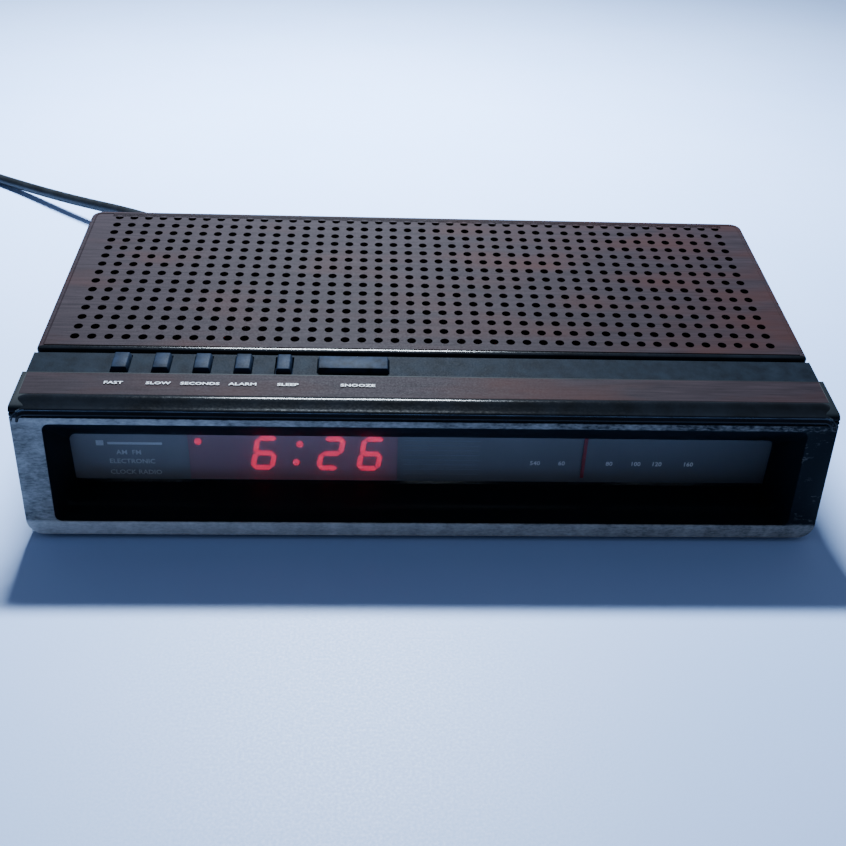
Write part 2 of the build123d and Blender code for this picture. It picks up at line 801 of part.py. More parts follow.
with BuildPart() as tuning_capacitor:
    with BuildSketch(Plane.XY.offset(capacitor_foot)):
        with Locations((wheel_x, tuning_wheel_y)):
            Rectangle(2 * capacitor_half, 2 * capacitor_half)
    extrude(amount=capacitor_top - capacitor_foot)
    with BuildSketch(Plane.XY.offset(capacitor_top)):
        with Locations((wheel_x, tuning_wheel_y)):
            Circle(shaft_radius + running_clearance)
    extrude(amount=-shaft_sink, mode=Mode.SUBTRACT)
tuning_capacitor.part.label = "tuning_capacitor"
pieces.append(tuning_capacitor)

# Volume control: a smaller thumbwheel on a potentiometer.
pot_top = volume_wheel_z - 1.5
with BuildPart() as volume_wheel:
    with BuildSketch(Plane.XY.offset(volume_wheel_z)):
        with Locations((volume_x, volume_wheel_y)):
            Circle(volume_wheel_radius)
            with PolarLocations(volume_wheel_radius, 40):
                Rectangle(2 * knurl_depth, 1.0, mode=Mode.SUBTRACT)
    extrude(amount=volume_wheel_thickness)
    with BuildSketch(Plane.XY.offset(volume_wheel_z)):
        with Locations((volume_x, volume_wheel_y)):
            Circle(shaft_radius)
    extrude(amount=-(volume_wheel_z - pot_top + 4.0))
volume_wheel.part.label = "volume_wheel"
pieces.append(volume_wheel)

with BuildPart() as volume_pot:
    with BuildSketch(Plane.XY.offset(capacitor_foot)):
        with Locations((volume_x, volume_wheel_y)):
            Circle(8.5)
    extrude(amount=pot_top - capacitor_foot)
    with BuildSketch(Plane.XY.offset(pot_top)):
        with Locations((volume_x, volume_wheel_y)):
            Circle(shaft_radius + running_clearance)
    extrude(amount=-4.5, mode=Mode.SUBTRACT)
volume_pot.part.label = "volume_pot"
pieces.append(volume_pot)

# Slide switches: function on the right side, band on the left.
switch_body_depth = 7.0
stem_length = 2.0
knob_inner = inner_half - 0.4
knob_bury = 0.3
slide_switches = (
    ("function", 1, function_switch_y, 22.0),
    ("band", -1, band_switch_y + band_travel / 2, 18.0),
)
knob_ys = {"function": function_switch_y, "band": band_switch_y}
for name, side, body_y, body_length in slide_switches:
    with BuildPart() as knob:
        with BuildSketch(Plane.YZ.offset(side * (cabinet_half + slide_knob_proud))):
            with Locations((knob_ys[name], slide_switch_z)):
                Rectangle(slide_knob_width, slide_knob_height)
        extrude(amount=-side * (cabinet_half + slide_knob_proud - knob_inner))
    knob.part.label = f"{name}_knob"
    pieces.append(knob)
    with BuildPart() as switch_body:
        with BuildSketch(Plane.YZ.offset(side * (knob_inner - knob_bury))):
            with Locations((body_y, slide_switch_z)):
                Rectangle(body_length, 8.0)
        extrude(amount=-side * switch_body_depth)
    switch_body.part.label = f"{name}_switch"
    pieces.append(switch_body)

# ---------------------------------------------------------------------------
# Circuit boards on pillars, and the parts on them.
# ---------------------------------------------------------------------------
for name, left, right, front, back in boards:
    corners = board_corners(left, right, front, back)
    with BuildPart() as board:
        with BuildSketch(Plane.XY.offset(board_z)):
            with Locations(((left + right) / 2, (front + back) / 2)):
                Rectangle(right - left, back - front)
            with Locations(*corners):
                Circle(board_screw_hole + 0.1, mode=Mode.SUBTRACT)
        extrude(amount=board_thickness)
    board.part.label = name
    pieces.append(board)

with BuildPart() as board_screws:
    with BuildSketch(Plane.XY.offset(board_z + board_thickness)):
        with Locations(*pillar_points):
            Circle(2.6)
    extrude(amount=1.4)
    with BuildSketch(Plane.XY.offset(board_z + board_thickness)):
        with Locations(*pillar_points):
            Circle(board_screw_hole - 0.05)
    extrude(amount=-6.0)
board_screws.part.label = "board_screws"
pieces.append(board_screws)

component_z = board_z + board_thickness
with BuildPart() as electrolytic_capacitors:
    for x, y, radius, tall in ((-22.0, 16.0, 6.3, 20.0), (-8.0, 36.0, 5.0, 13.0), (-22.0, 36.0, 4.0, 11.0)):
        with BuildSketch(Plane.XY.offset(component_z)):
            with Locations((x, y)):
                Circle(radius)
        extrude(amount=tall)
electrolytic_capacitors.part.label = "electrolytic_capacitors"
pieces.append(electrolytic_capacitors)

with BuildPart() as if_transformers:
    with BuildSketch(Plane.XY.offset(component_z)):
        with Locations((30.0, 36.0)):
            with GridLocations(13.0, 13.0, 4, 1):
                Rectangle(9.0, 9.0)
                Circle(1.6, mode=Mode.SUBTRACT)
    extrude(amount=11.0)
if_transformers.part.label = "if_transformers"
pieces.append(if_transformers)

clock_chip_y = main_front + 16.5
for name, x, y, length in (("audio_chip", 10.0, 10.0, 19.0), ("clock_chip", -75.0, clock_chip_y, 36.0)):
    with BuildPart() as chip:
        with BuildSketch(Plane.XY.offset(component_z + 1.0)):
            with Locations((x, y)):
                Rectangle(length, 8.0 if name == "audio_chip" else 14.0)
        extrude(amount=3.4)
        with BuildSketch(Plane.XY.offset(component_z)):
            with Locations((x, y)):
                with GridLocations(2.54, 6.0 if name == "audio_chip" else 12.0, int(length / 2.54), 2):
                    Rectangle(0.6, 0.5)
        extrude(amount=1.2)
    chip.part.label = name
    pieces.append(chip)

# Transformer: laminated core with a coil round its middle leg, on a foot.
core_x = -inner_half + 38.0
core_y = back_inner_foot - 31.0
core_width = 42.0
core_height = 35.0
core_depth = 15.0
core_window = 7.0
core_low = base_z + base_thickness + 1.5
core_middle_z = core_low + core_height / 2
leg_width = core_width / 3

with BuildPart() as transformer_core:
    with BuildSketch(upright(core_y)):
        with Locations((core_x, core_middle_z)):
            Rectangle(core_width, core_height)
        for side in (-1, 1):
            with Locations((core_x + side * (leg_width + core_window) / 2, core_middle_z)):
                Rectangle(core_window, core_height - 2 * core_window, mode=Mode.SUBTRACT)
    extrude(amount=core_depth / 2, both=True)
transformer_core.part.label = "transformer_core"
pieces.append(transformer_core)

coil_gap = 0.2
with BuildPart() as transformer_coil:
    with BuildSketch(Plane.XY.offset(core_low + core_window + coil_gap)):
        with Locations((core_x, core_y)):
            RectangleRounded(leg_width + 2 * core_window - 2 * coil_gap, core_depth + 13.0, 3.0)
            Rectangle(leg_width + 2 * coil_gap, core_depth + 2 * coil_gap, mode=Mode.SUBTRACT)
    extrude(amount=core_height - 2 * core_window - 2 * coil_gap)
transformer_coil.part.label = "transformer_coil"
pieces.append(transformer_coil)

with BuildPart() as transformer_frame:
    with BuildSketch(Plane.XY.offset(base_z + base_thickness)):
        with Locations((core_x, core_y)):
            RectangleRounded(core_width + 18.0, core_depth, 2.0)
        with Locations((core_x, core_y)):
            with GridLocations(core_width + 11.0, 1, 2, 1):
                Circle(1.7, mode=Mode.SUBTRACT)
    extrude(amount=1.5)
transformer_frame.part.label = "transformer_frame"
pieces.append(transformer_frame)

# ---------------------------------------------------------------------------
# Loudspeaker: faces up under the grille, square to the sloping top.
# ---------------------------------------------------------------------------
speaker_y, speaker_z = on_top(speaker_s, 0)
speaker_plane = Plane(
    origin=(speaker_x, speaker_y, speaker_z), x_dir=(1, 0, 0), z_dir=(0, -cos(slope), -sin(slope))
)
speaker_axis = Axis((speaker_x, speaker_y, speaker_z), (0, -sin(slope), cos(slope)))
gasket = 0.8
rim_top = -cover_thickness - gasket
rim_low = rim_top - 1.2
magnet_radius = 16.0
magnet_height = 8.0
basket_foot = rim_low - speaker_depth + magnet_height
cone_outer = speaker_radius - 3.5
dust_cap_radius = 8.0

with BuildPart() as speaker_gasket:
    with BuildSketch(top_plane.offset(rim_top)):
        with Locations((speaker_x, speaker_s)):
            Circle(speaker_radius)
            Circle(cone_outer + 0.5, mode=Mode.SUBTRACT)
    extrude(amount=gasket)
speaker_gasket.part.label = "speaker_gasket"
pieces.append(speaker_gasket)

with BuildPart() as speaker_frame:
    with BuildSketch(speaker_plane):
        Polygon(
            (speaker_radius, rim_top),
            (speaker_radius, rim_low),
            (cone_outer + 1.2, rim_low),
            (magnet_radius - 1.0, basket_foot),
            (magnet_radius - 1.0, basket_foot - 0.01),
            (0, basket_foot - 0.01),
            (0, basket_foot + 1.0),
            (magnet_radius - 1.6, basket_foot + 1.0),
            (cone_outer, rim_low + 0.4),
            (cone_outer, rim_top),
            align=None,
        )
    revolve(axis=speaker_axis)
speaker_frame.part.label = "speaker_frame"
pieces.append(speaker_frame)

with BuildPart() as speaker_magnet:
    with BuildSketch(top_plane.offset(basket_foot - 0.01 - magnet_height)):
        with Locations((speaker_x, speaker_s)):
            Circle(magnet_radius)
    extrude(amount=magnet_height)
    fillet(speaker_magnet.edges().group_by(Axis.Z)[0], radius=1.0)
speaker_magnet.part.label = "speaker_magnet"
pieces.append(speaker_magnet)

with BuildPart() as speaker_cone:
    with BuildSketch(speaker_plane):
        Polygon(
            (cone_outer - 0.2, rim_top - 0.2),
            (cone_outer - 0.2, rim_top - 0.8),
            (dust_cap_radius + 0.6, rim_top - 11.0),
            (0, rim_top - 11.0),
            (0, rim_top - 8.6),
            (dust_cap_radius, rim_top - 10.2),
            align=None,
        )
    revolve(axis=speaker_axis)
speaker_cone.part.label = "speaker_cone"
pieces.append(speaker_cone)

# Aerial: a ferrite rod with its coil, held by two brackets on the main board.
rod_radius = 4.0
rod_y = main_back - 4.0
rod_z = 44.0
rod_left = 6.0
rod_right = main_right - 12.0
bracket_thickness = 2.5
bracket_xs = (rod_left + 8.0, rod_right - 8.0)

with BuildPart() as ferrite_rod:
    with BuildSketch(Plane.YZ.offset(rod_left)):
        with Locations((rod_y, rod_z)):
            Circle(rod_radius)
    extrude(amount=rod_right - rod_left)
ferrite_rod.part.label = "ferrite_rod"
pieces.append(ferrite_rod)

with BuildPart() as aerial_coil:
    with BuildSketch(Plane.YZ.offset(rod_left + 22.0)):
        with Locations((rod_y, rod_z)):
            Circle(rod_radius + 1.2)
            Circle(rod_radius + running_clearance, mode=Mode.SUBTRACT)
    extrude(amount=24.0)
aerial_coil.part.label = "aerial_coil"
pieces.append(aerial_coil)

with BuildPart() as aerial_brackets:
    for x in bracket_xs:
        with BuildSketch(Plane.YZ.offset(x)):
            with Locations((rod_y, (component_z + rod_z + rod_radius + 2.0) / 2)):
                Rectangle(7.5, rod_z + rod_radius + 2.0 - component_z)
            with Locations((rod_y, rod_z)):
                Circle(rod_radius + running_clearance, mode=Mode.SUBTRACT)
        extrude(amount=bracket_thickness)
aerial_brackets.part.label = "aerial_brackets"
pieces.append(aerial_brackets)

# ---------------------------------------------------------------------------
# Mains cord. The boot sits in the back wall; the cord leaves it square to the
# wall, comes down to the surface and runs off to the left to its coil.
# ---------------------------------------------------------------------------
wall_y = half_depth - (cord_exit_z - base_z) * tan(slope)
out = (0.0, cos(slope), sin(slope))


def along_out(distance):
    """A point on the boot's centre line, a distance out from the back wall."""
    return cord_x, wall_y + distance * out[1], cord_exit_z + distance * out[2]


boot_plane = Plane(origin=along_out(0.0), x_dir=(1, 0, 0), z_dir=out)
with BuildPart() as strain_relief:
    with BuildSketch(boot_plane.offset(-cabinet_wall - 2.0)):
        Circle(boot_radius - 1.1)
    extrude(amount=cabinet_wall + 2.0)
    with BuildSketch(boot_plane.offset(-cabinet_wall - 3.5)):
        Circle(boot_radius)
    extrude(amount=1.5)
    with BuildSketch(boot_plane):
        Circle(boot_radius)
    with BuildSketch(boot_plane.offset(boot_length)):
        Circle(cord_radius + 0.7)
    loft()
strain_relief.part.label = "strain_relief"
pieces.append(strain_relief)

first_run = 26.0
floor_run_z = cord_radius + 0.1
cord_route = [
    along_out(boot_length),
    along_out(boot_length + first_run),
    (-117.0, 150.0, 25.0),
    (-137.0, 182.0, 18.0),
    (-162.0, 208.0, 13.5),
    (-188.0, 229.0, 10.0),
    (-213.0, 250.0, 7.0),
    (-237.0, 271.0, 4.4),
    (-261.0, 290.0, floor_run_z),
    (-286.0, 310.0, floor_run_z + 0.4),
    (-307.0, 321.5, floor_run_z + 1.0),
]


def corner_radii(route):
    """Arc radius at each corner: 0.45 of its shorter run over tan of half the turn."""
    radii = []
    for before, here, after in zip(route, route[1:], route[2:]):
        run_in = Vector(*here) - Vector(*before)
        run_out = Vector(*after) - Vector(*here)
        turn = radians(run_in.get_angle(run_out))
        radii.append(0.45 * min(run_in.length, run_out.length) / tan(turn / 2))
    return radii


cord_radii = corner_radii(cord_route)
print("cord arc radii", [round(radius, 1) for radius in cord_radii])

with BuildPart() as mains_cord:
    with BuildLine() as cord_line:
        FilletPolyline(*cord_route, radius=cord_radii)
    with BuildSketch(Plane(origin=cord_route[0], z_dir=out)):
        Circle(cord_radius)
    sweep()
mains_cord.part.label = "mains_cord"
pieces.append(mains_cord)
cord_length = sum(edge.length for edge in cord_line.edges())
section = pi * cord_radius**2
print("cord length", round(cord_length, 1), "volume ratio", mains_cord.part.volume / section / cord_length)

# Coil of the length that is put away, its tie, and the plug that lies on it.
coil_centre = (-318.0, 288.0)
coil_middle_radius = 34.0
coil_half_width = 6.2
coil_low = 1.0
coil_height = 24.8
tie_thickness = 0.8
tie_width = 7.0
tie_angle = 215.0

with BuildPart() as cord_coil:
    with BuildSketch(Plane.XZ.offset(-coil_centre[1])) as coil_section:
        with Locations((coil_centre[0] + coil_middle_radius, coil_low + coil_height / 2)):
            RectangleRounded(2 * coil_half_width, coil_height, cord_radius)
    revolve(axis=Axis((*coil_centre, 0), (0, 0, 1)))
cord_coil.part.label = "cord_coil"
pieces.append(cord_coil)

tie_plane = Plane(
    origin=(*coil_centre, 0),
    x_dir=(cos(radians(tie_angle)), sin(radians(tie_angle)), 0),
    z_dir=(sin(radians(tie_angle)), -cos(radians(tie_angle)), 0),
)
with BuildPart() as cord_tie:
    with BuildSketch(tie_plane):
        with Locations((coil_middle_radius, coil_low + coil_height / 2)):
            RectangleRounded(
                2 * coil_half_width + 2 * tie_thickness + 1.4, coil_height + 2 * tie_thickness, 3.0
            )
            RectangleRounded(2 * coil_half_width + 1.0, coil_height + 0.02, 2.4, mode=Mode.SUBTRACT)
    extrude(amount=tie_width / 2, both=True)
cord_tie.part.label = "cord_tie"
pieces.append(cord_tie)

# Plug: moulded body with two flat blades, lying on the coil.
plug_length = 32.0
plug_width = 24.0
plug_height = 15.0
plug_angle = 75.0
plug_heading = plug_angle + 90.0
plug_tail = 9.0
plug_z = coil_low + coil_height + plug_height / 2 + 0.1
blade_spacing = 12.7
blade_length = 17.0
plug_plane = Plane(
    origin=(
        coil_centre[0] + coil_middle_radius * cos(radians(plug_angle)),
        coil_centre[1] + coil_middle_radius * sin(radians(plug_angle)),
        plug_z,
    ),
    x_dir=(sin(radians(plug_heading)), -cos(radians(plug_heading)), 0),
    z_dir=(cos(radians(plug_heading)), sin(radians(plug_heading)), 0),
)
with BuildPart() as mains_plug:
    with BuildSketch(plug_plane.offset(plug_tail)):
        RectangleRounded(plug_width, plug_height, 4.0)
    extrude(amount=plug_length - plug_tail)
    with BuildSketch(plug_plane):
        Circle(cord_radius + 1.0)
    with BuildSketch(plug_plane.offset(plug_tail)):
        Circle(plug_height / 2 - 0.5)
    loft()
mains_plug.part.label = "mains_plug"
pieces.append(mains_plug)

with BuildPart() as plug_blades:
    with BuildSketch(plug_plane.offset(plug_length)):
        with GridLocations(blade_spacing, 1, 2, 1):
            Rectangle(1.5, 6.3)
    extrude(amount=blade_length)
plug_blades.part.label = "plug_blades"
pieces.append(plug_blades)

# ---------------------------------------------------------------------------
os.makedirs("parts", exist_ok=True)
for piece in pieces:
    export_step(piece.part, f"parts/{piece.part.label}.step")
print(len(pieces), "pieces")
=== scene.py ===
import bpy
import bmesh
from math import cos, pi, radians, sin
from mathutils import Matrix, Vector


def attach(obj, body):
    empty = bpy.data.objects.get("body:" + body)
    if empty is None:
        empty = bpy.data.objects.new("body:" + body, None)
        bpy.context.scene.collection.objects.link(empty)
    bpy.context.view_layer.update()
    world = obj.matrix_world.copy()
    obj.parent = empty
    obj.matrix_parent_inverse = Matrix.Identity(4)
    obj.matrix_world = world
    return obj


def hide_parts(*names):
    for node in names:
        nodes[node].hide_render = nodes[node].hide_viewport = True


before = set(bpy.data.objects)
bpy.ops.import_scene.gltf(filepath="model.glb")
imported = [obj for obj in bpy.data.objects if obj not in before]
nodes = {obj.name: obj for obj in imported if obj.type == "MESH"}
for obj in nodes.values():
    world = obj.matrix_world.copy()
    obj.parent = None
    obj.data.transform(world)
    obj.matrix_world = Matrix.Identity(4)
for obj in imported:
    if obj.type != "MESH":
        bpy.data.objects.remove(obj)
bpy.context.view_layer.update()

# Camera. It stands in front of the radio, a little to its left, and looks
# down on the top and the window at once.
camera = bpy.data.objects.new("camera", bpy.data.cameras.new("camera"))
camera.data.sensor_width = 36.0
camera.data.lens = 44.11
camera.data.clip_start = 0.01
camera_spot = (-0.01983, -0.36009, 0.23128)
turned_right, tipped_down, rolled = radians(3.30), radians(32.16), radians(2.36)
camera.matrix_world = (
    Matrix.Translation(camera_spot)
    @ Matrix.Rotation(-turned_right, 4, "Z")
    @ Matrix.Rotation(radians(90) - tipped_down, 4, "X")
    @ Matrix.Rotation(rolled, 4, "Z")
)
bpy.context.scene.collection.objects.link(camera)
bpy.context.scene.camera = camera


# Mains cord: soft black PVC over its cores, 6 mm thick. It leaves the boot
# square to the back wall, comes down to the table, runs off to the left, and
# what is put away lies wound in a coil of four layers, two turns wide.
def colour(code):
    """The linear colour of an sRGB hex code, for a node's socket."""
    channels = [int(code[i:i + 2], 16) / 255 for i in (1, 3, 5)]
    return [c / 12.92 if c < 0.04045 else ((c + 0.055) / 1.055) ** 2.4 for c in channels] + [1.0]


def add(tree, kind, feeds=None, **settings):
    """Adds a node with its settings. Feeds name its sockets, with a value or a link for each."""
    node = tree.nodes.new(kind)
    for name, value in settings.items():
        setattr(node, name, value)
    for name, value in (feeds or {}).items():
        if isinstance(value, bpy.types.NodeSocket):
            tree.links.new(value, node.inputs[name])
        else:
            node.inputs[name].default_value = value
    return node


def moulded(name, dark, light, patch, grain, relief, rough=(0.35, 0.5), **sockets):
    """A finish with broad patches of two colours and a fine grain in its gloss and relief.

    Patch, grain and relief are in metres. A grain finer than the eye can see
    from the camera is given two or three times its real size, so that it shows.
    """
    material = bpy.data.materials.new(name)
    material.use_nodes = True
    tree = material.node_tree
    shader = tree.nodes["Principled BSDF"]
    place = add(tree, "ShaderNodeTexCoord").outputs["Object"]
    patches = add(tree, "ShaderNodeTexNoise", {"Vector": place, "Scale": 1 / patch, "Detail": 6.0,
                                               "Roughness": 0.6})
    tint = add(tree, "ShaderNodeValToRGB", {"Fac": patches.outputs["Fac"]})
    tint.color_ramp.elements[0].position = 0.35
    tint.color_ramp.elements[0].color = colour(dark)
    tint.color_ramp.elements[1].position = 0.68
    tint.color_ramp.elements[1].color = colour(light)
    grains = add(tree, "ShaderNodeTexNoise", {"Vector": place, "Scale": 1 / grain, "Detail": 3.0})
    gloss = add(tree, "ShaderNodeMapRange", {
        "Value": grains.outputs["Fac"], "From Min": 0.3, "From Max": 0.7,
        "To Min": rough[0], "To Max": rough[1]})
    bump = add(tree, "ShaderNodeBump", {"Height": grains.outputs["Fac"], "Distance": relief,
                                        "Strength": 1.0})
    tree.links.new(tint.outputs["Color"], shader.inputs["Base Color"])
    tree.links.new(gloss.outputs["Result"], shader.inputs["Roughness"])
    tree.links.new(bump.outputs["Normal"], shader.inputs["Normal"])
    for socket, value in sockets.items():
        shader.inputs[socket.replace("_", " ")].default_value = value
    return material


def solid_piece(name, mesh, body, slot, *stands_for):
    """An object for a finished mesh, riding on its body and standing for its CAD nodes."""
    piece = bpy.data.objects.new(name, mesh)
    bpy.context.scene.collection.objects.link(piece)
    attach(piece, body)
    if stands_for:
        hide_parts(*stands_for)
    return piece


def eased(angle, start, takes):
    """0 before start, 1 once it has taken its angle, and a smooth step between them."""
    t = min(max((angle - start) / takes, 0.0), 1.0)
    return t * t * (3 - 2 * t)


cord_diameter = 0.006
cord_exit = (-0.1081, 0.092046, 0.023547)
cord_route = [
    cord_exit,
    (-0.1081, 0.117761, 0.027390),
    (-0.117, 0.150, 0.025),
    (-0.137, 0.182, 0.018),
    (-0.162, 0.208, 0.0135),
    (-0.188, 0.229, 0.010),
    (-0.213, 0.250, 0.007),
    (-0.237, 0.271, 0.0044),
    (-0.261, 0.290, 0.0031),
    (-0.286, 0.310, 0.0035),
]
coil_centre = Vector((-0.318, 0.288, 0.0))
outer_turn, turn_apart, layer_apart = 0.0372, 0.0062, 0.00625
first_layer = 0.0041
first_angle, last_angle, angle_step = 55, 2235, 20
# Once in each layer the cord steps in or out by one turn, and then climbs to
# the next layer. All these angles are in degrees round the coil.
layer_angle = 570
step_in, step_takes = 295, 90
climb, climb_takes = 595, 60
# At its end the cord rises over the turns to the plug, and draws in a little.
plug_rise, rise_start, rise_takes = 0.0106, 2105, 120
plug_inset, inset_start, inset_takes = 0.0032, 2165, 70
for angle in range(first_angle, last_angle + 1, angle_step):
    inward = sum((-1) ** layer * eased(angle, step_in + layer * layer_angle, step_takes)
                 for layer in range(4))
    layers = sum(eased(angle, climb + layer * layer_angle, climb_takes) for layer in range(3))
    radius = outer_turn - turn_apart * inward - plug_inset * eased(angle, inset_start, inset_takes)
    height = first_layer + layer_apart * layers + plug_rise * eased(angle, rise_start, rise_takes)
    around = radians(angle)
    cord_route.append(coil_centre + Vector((radius * cos(around), radius * sin(around), height)))

cord_curve = bpy.data.curves.new("mains_cord_line", "CURVE")
cord_curve.dimensions = "3D"
cord_curve.bevel_depth = cord_diameter / 2
cord_curve.bevel_resolution = 5
cord_curve.resolution_u = 6
cord_curve.use_fill_caps = True
cord_spline = cord_curve.splines.new("NURBS")
cord_spline.points.add(len(cord_route) - 1)
for point, spot in zip(cord_spline.points, cord_route):
    point.co = (*spot, 1.0)
cord_spline.order_u = 3
cord_spline.use_endpoint_u = True
# Plasticised PVC: black with a soft sheen, and faint scuffs along it.
cord_pvc = moulded("soft_black_pvc", "#0A0C0F", "#15181C", 0.010, 0.0012, 0.00004, (0.40, 0.56),
                   Specular_IOR_Level=0.14)
cord_curve.materials.append(cord_pvc)
mains_cord = solid_piece("mains_cord_flex", cord_curve, "cabinet", "cord_pvc",
                         "mains_cord", "cord_coil")


# Boot: a tapered PVC sleeve with moulded rings that lets the cord bend where
# it leaves the back wall. It is turned about the cord's line.
def turned(profile, steps, place):
    """A closed solid of revolution.

    The profile gives (distance along, radius) pairs, from radius 0 to radius 0.
    """
    form = bmesh.new()
    rings = []
    for along, radius in profile:
        if radius == 0.0:
            rings.append([form.verts.new((0, 0, along))])
        else:
            turns = [2 * pi * i / steps for i in range(steps)]
            rings.append([form.verts.new((radius * cos(t), radius * sin(t), along))
                          for t in turns])
    for below, above in zip(rings, rings[1:]):
        for i in range(steps):
            j = (i + 1) % steps
            corners = [below[i % len(below)], below[j % len(below)],
                       above[j % len(above)], above[i % len(above)]]
            distinct = list(dict.fromkeys(corners))
            if len(distinct) > 2:
                form.faces.new(distinct)
    bmesh.ops.recalc_face_normals(form, faces=form.faces)
    mesh = bpy.data.meshes.new("turned")
    form.to_mesh(mesh)
    form.free()
    mesh.transform(place)
    mesh.shade_smooth()
    mesh.set_sharp_from_angle(angle=radians(35))
    return mesh


slope = radians(8.5)
slope_cos, slope_sin = 0.98902, 0.14781    # the top and the back wall both lean by the slope
out_of_wall = Vector((0.0, slope_cos, slope_sin))
boot_length = 0.024
boot_start = Vector(cord_exit) - boot_length * out_of_wall
boot_turn = out_of_wall.to_track_quat("Z", "X").to_matrix().to_4x4()
boot_place = Matrix.Translation(boot_start) @ boot_turn
# The plug in the wall's hole, then its flange.
boot_profile = [(-0.0058, 0.0), (-0.0058, 0.0054), (0.0012, 0.0056), (0.0014, 0.0062),
                (0.0026, 0.0062), (0.0028, 0.0054)]
ring_count, ring_pitch, first_ring, ring_deep = 7, 0.0028, 0.0034, 0.0006
first_ring_radius, ring_taper = 0.0052, 0.00020
for ring in range(ring_count):
    start = first_ring + ring * ring_pitch
    radius = first_ring_radius - ring_taper * ring
    boot_profile += [(start, radius - ring_deep), (start + 0.0003, radius),
                     (start + 0.0016, radius), (start + 0.0019, radius - ring_deep)]
boot_profile += [(0.0238, 0.0036), (0.0238, 0.0)]
boot = turned(boot_profile, 32, boot_place)
boot.materials.append(cord_pvc)
strain_boot = solid_piece("ringed_boot", boot, "cabinet", "cord_pvc", "strain_relief")


# Plug and tie: a moulded two-pin plug lying on the coil, with its blades of
# plain brass, and a flat PVC band round the turns.
def eased_piece(name, source, body, slot, finish, width, segments=2):
    """A piece with a CAD node's shape and a small round on its hard edges, in that node's place."""
    form = bmesh.new()
    form.from_mesh(nodes[source].data)
    bmesh.ops.remove_doubles(form, verts=form.verts, dist=0.000004)
    bmesh.ops.dissolve_limit(form, angle_limit=radians(0.6), verts=form.verts, edges=form.edges)
    hard_mesh = bpy.data.meshes.new(name)
    form.to_mesh(hard_mesh)
    form.free()
    hard_mesh.materials.clear()
    holder = bpy.data.objects.new(name, hard_mesh)
    bpy.context.scene.collection.objects.link(holder)
    bevel = holder.modifiers.new("eased_edges", "BEVEL")
    bevel.width = width
    bevel.segments = segments
    bevel.limit_method = "ANGLE"
    bevel.angle_limit = radians(32)
    bevel.use_clamp_overlap = True
    graph = bpy.context.evaluated_depsgraph_get()
    mesh = bpy.data.meshes.new_from_object(holder.evaluated_get(graph))
    bpy.data.objects.remove(holder)
    mesh.shade_smooth()
    mesh.set_sharp_from_angle(angle=radians(30))
    mesh.materials.append(finish)
    return solid_piece(name, mesh, body, slot, source)


plug_body = eased_piece("plug_body", "mains_plug", "cabinet", "cord_pvc", cord_pvc, 0.0012, 3)
coil_tie = eased_piece("coil_tie", "cord_tie", "cabinet", "cord_pvc", cord_pvc, 0.0003)
# Rolled brass, dull yellow with fine draw marks.
brass = moulded("rolled_brass", "#A8843C", "#C9A75A", 0.004, 0.0003, 0.00001, (0.22, 0.38),
                Metallic=1.0)
plug_pins = eased_piece("plug_pins", "plug_blades", "cabinet", "brass", brass, 0.0003)

# Stage: a pale table top, with one small soft light behind and above the
# radio, and a cool, weak light from all round.
floor_mesh = bpy.data.meshes.new("floor")
floor_mesh.from_pydata([(-4, -4, 0), (4, -4, 0), (4, 6, 0), (-4, 6, 0)], [], [(0, 1, 2, 3)])
# Painted board: an even pale blue-white with hardly any gloss.
floor_paint = moulded("pale_table", "#9DBBEE", "#A6C2F2", 0.35, 0.0009, 0.00002, (0.45, 0.6))
floor_mesh.materials.append(floor_paint)
floor = bpy.data.objects.new("floor", floor_mesh)
bpy.context.scene.collection.objects.link(floor)
lamp = bpy.data.lights.new("window_light", "AREA")
lamp.shape = "RECTANGLE"
lamp.size, lamp.size_y = 0.26, 0.10
lamp.energy = 46.0
lamp.color = (0.76, 0.88, 1.0)
lamp_object = bpy.data.objects.new("window_light", lamp)
lamp_object.location = (-0.05, 0.414, 0.64)
lamp_aim = Vector((-0.08, 0.60, 0)) - lamp_object.location
lamp_object.rotation_euler = lamp_aim.to_track_quat("-Z", "Y").to_euler()
bpy.context.scene.collection.objects.link(lamp_object)
surround = bpy.data.worlds.new("cool_room")
surround.use_nodes = True
room_light = surround.node_tree.nodes["Background"]
room_light.inputs["Color"].default_value = (0.58, 0.70, 1.0, 1.0)
room_light.inputs["Strength"].default_value = 0.27
bpy.context.scene.world = surround

# Perforated cover: a styrene panel with walnut-print foil on its face and
# 645 round sound holes in a square grid. Its front edge is a rolled black
# bead. The field of holes is a tree of cells, and the border is a plate.
top_y, top_z = -0.066893, 0.050911         # the front edge of the sloping top
top_plane = Matrix.Translation((0, top_y, top_z)) @ Matrix.Rotation(slope, 4, "X")
hole_pitch, hole_radius = 0.006, 0.00165
hole_columns, hole_rows = 43, 15
cover_front, cover_back, cover_half, cover_thick = 0.0325, 0.12915, 0.1378, 0.0024
first_row = 0.040
field_half = hole_columns * hole_pitch / 2
field_front = first_row - hole_pitch / 2
field_back = field_front + hole_rows * hole_pitch


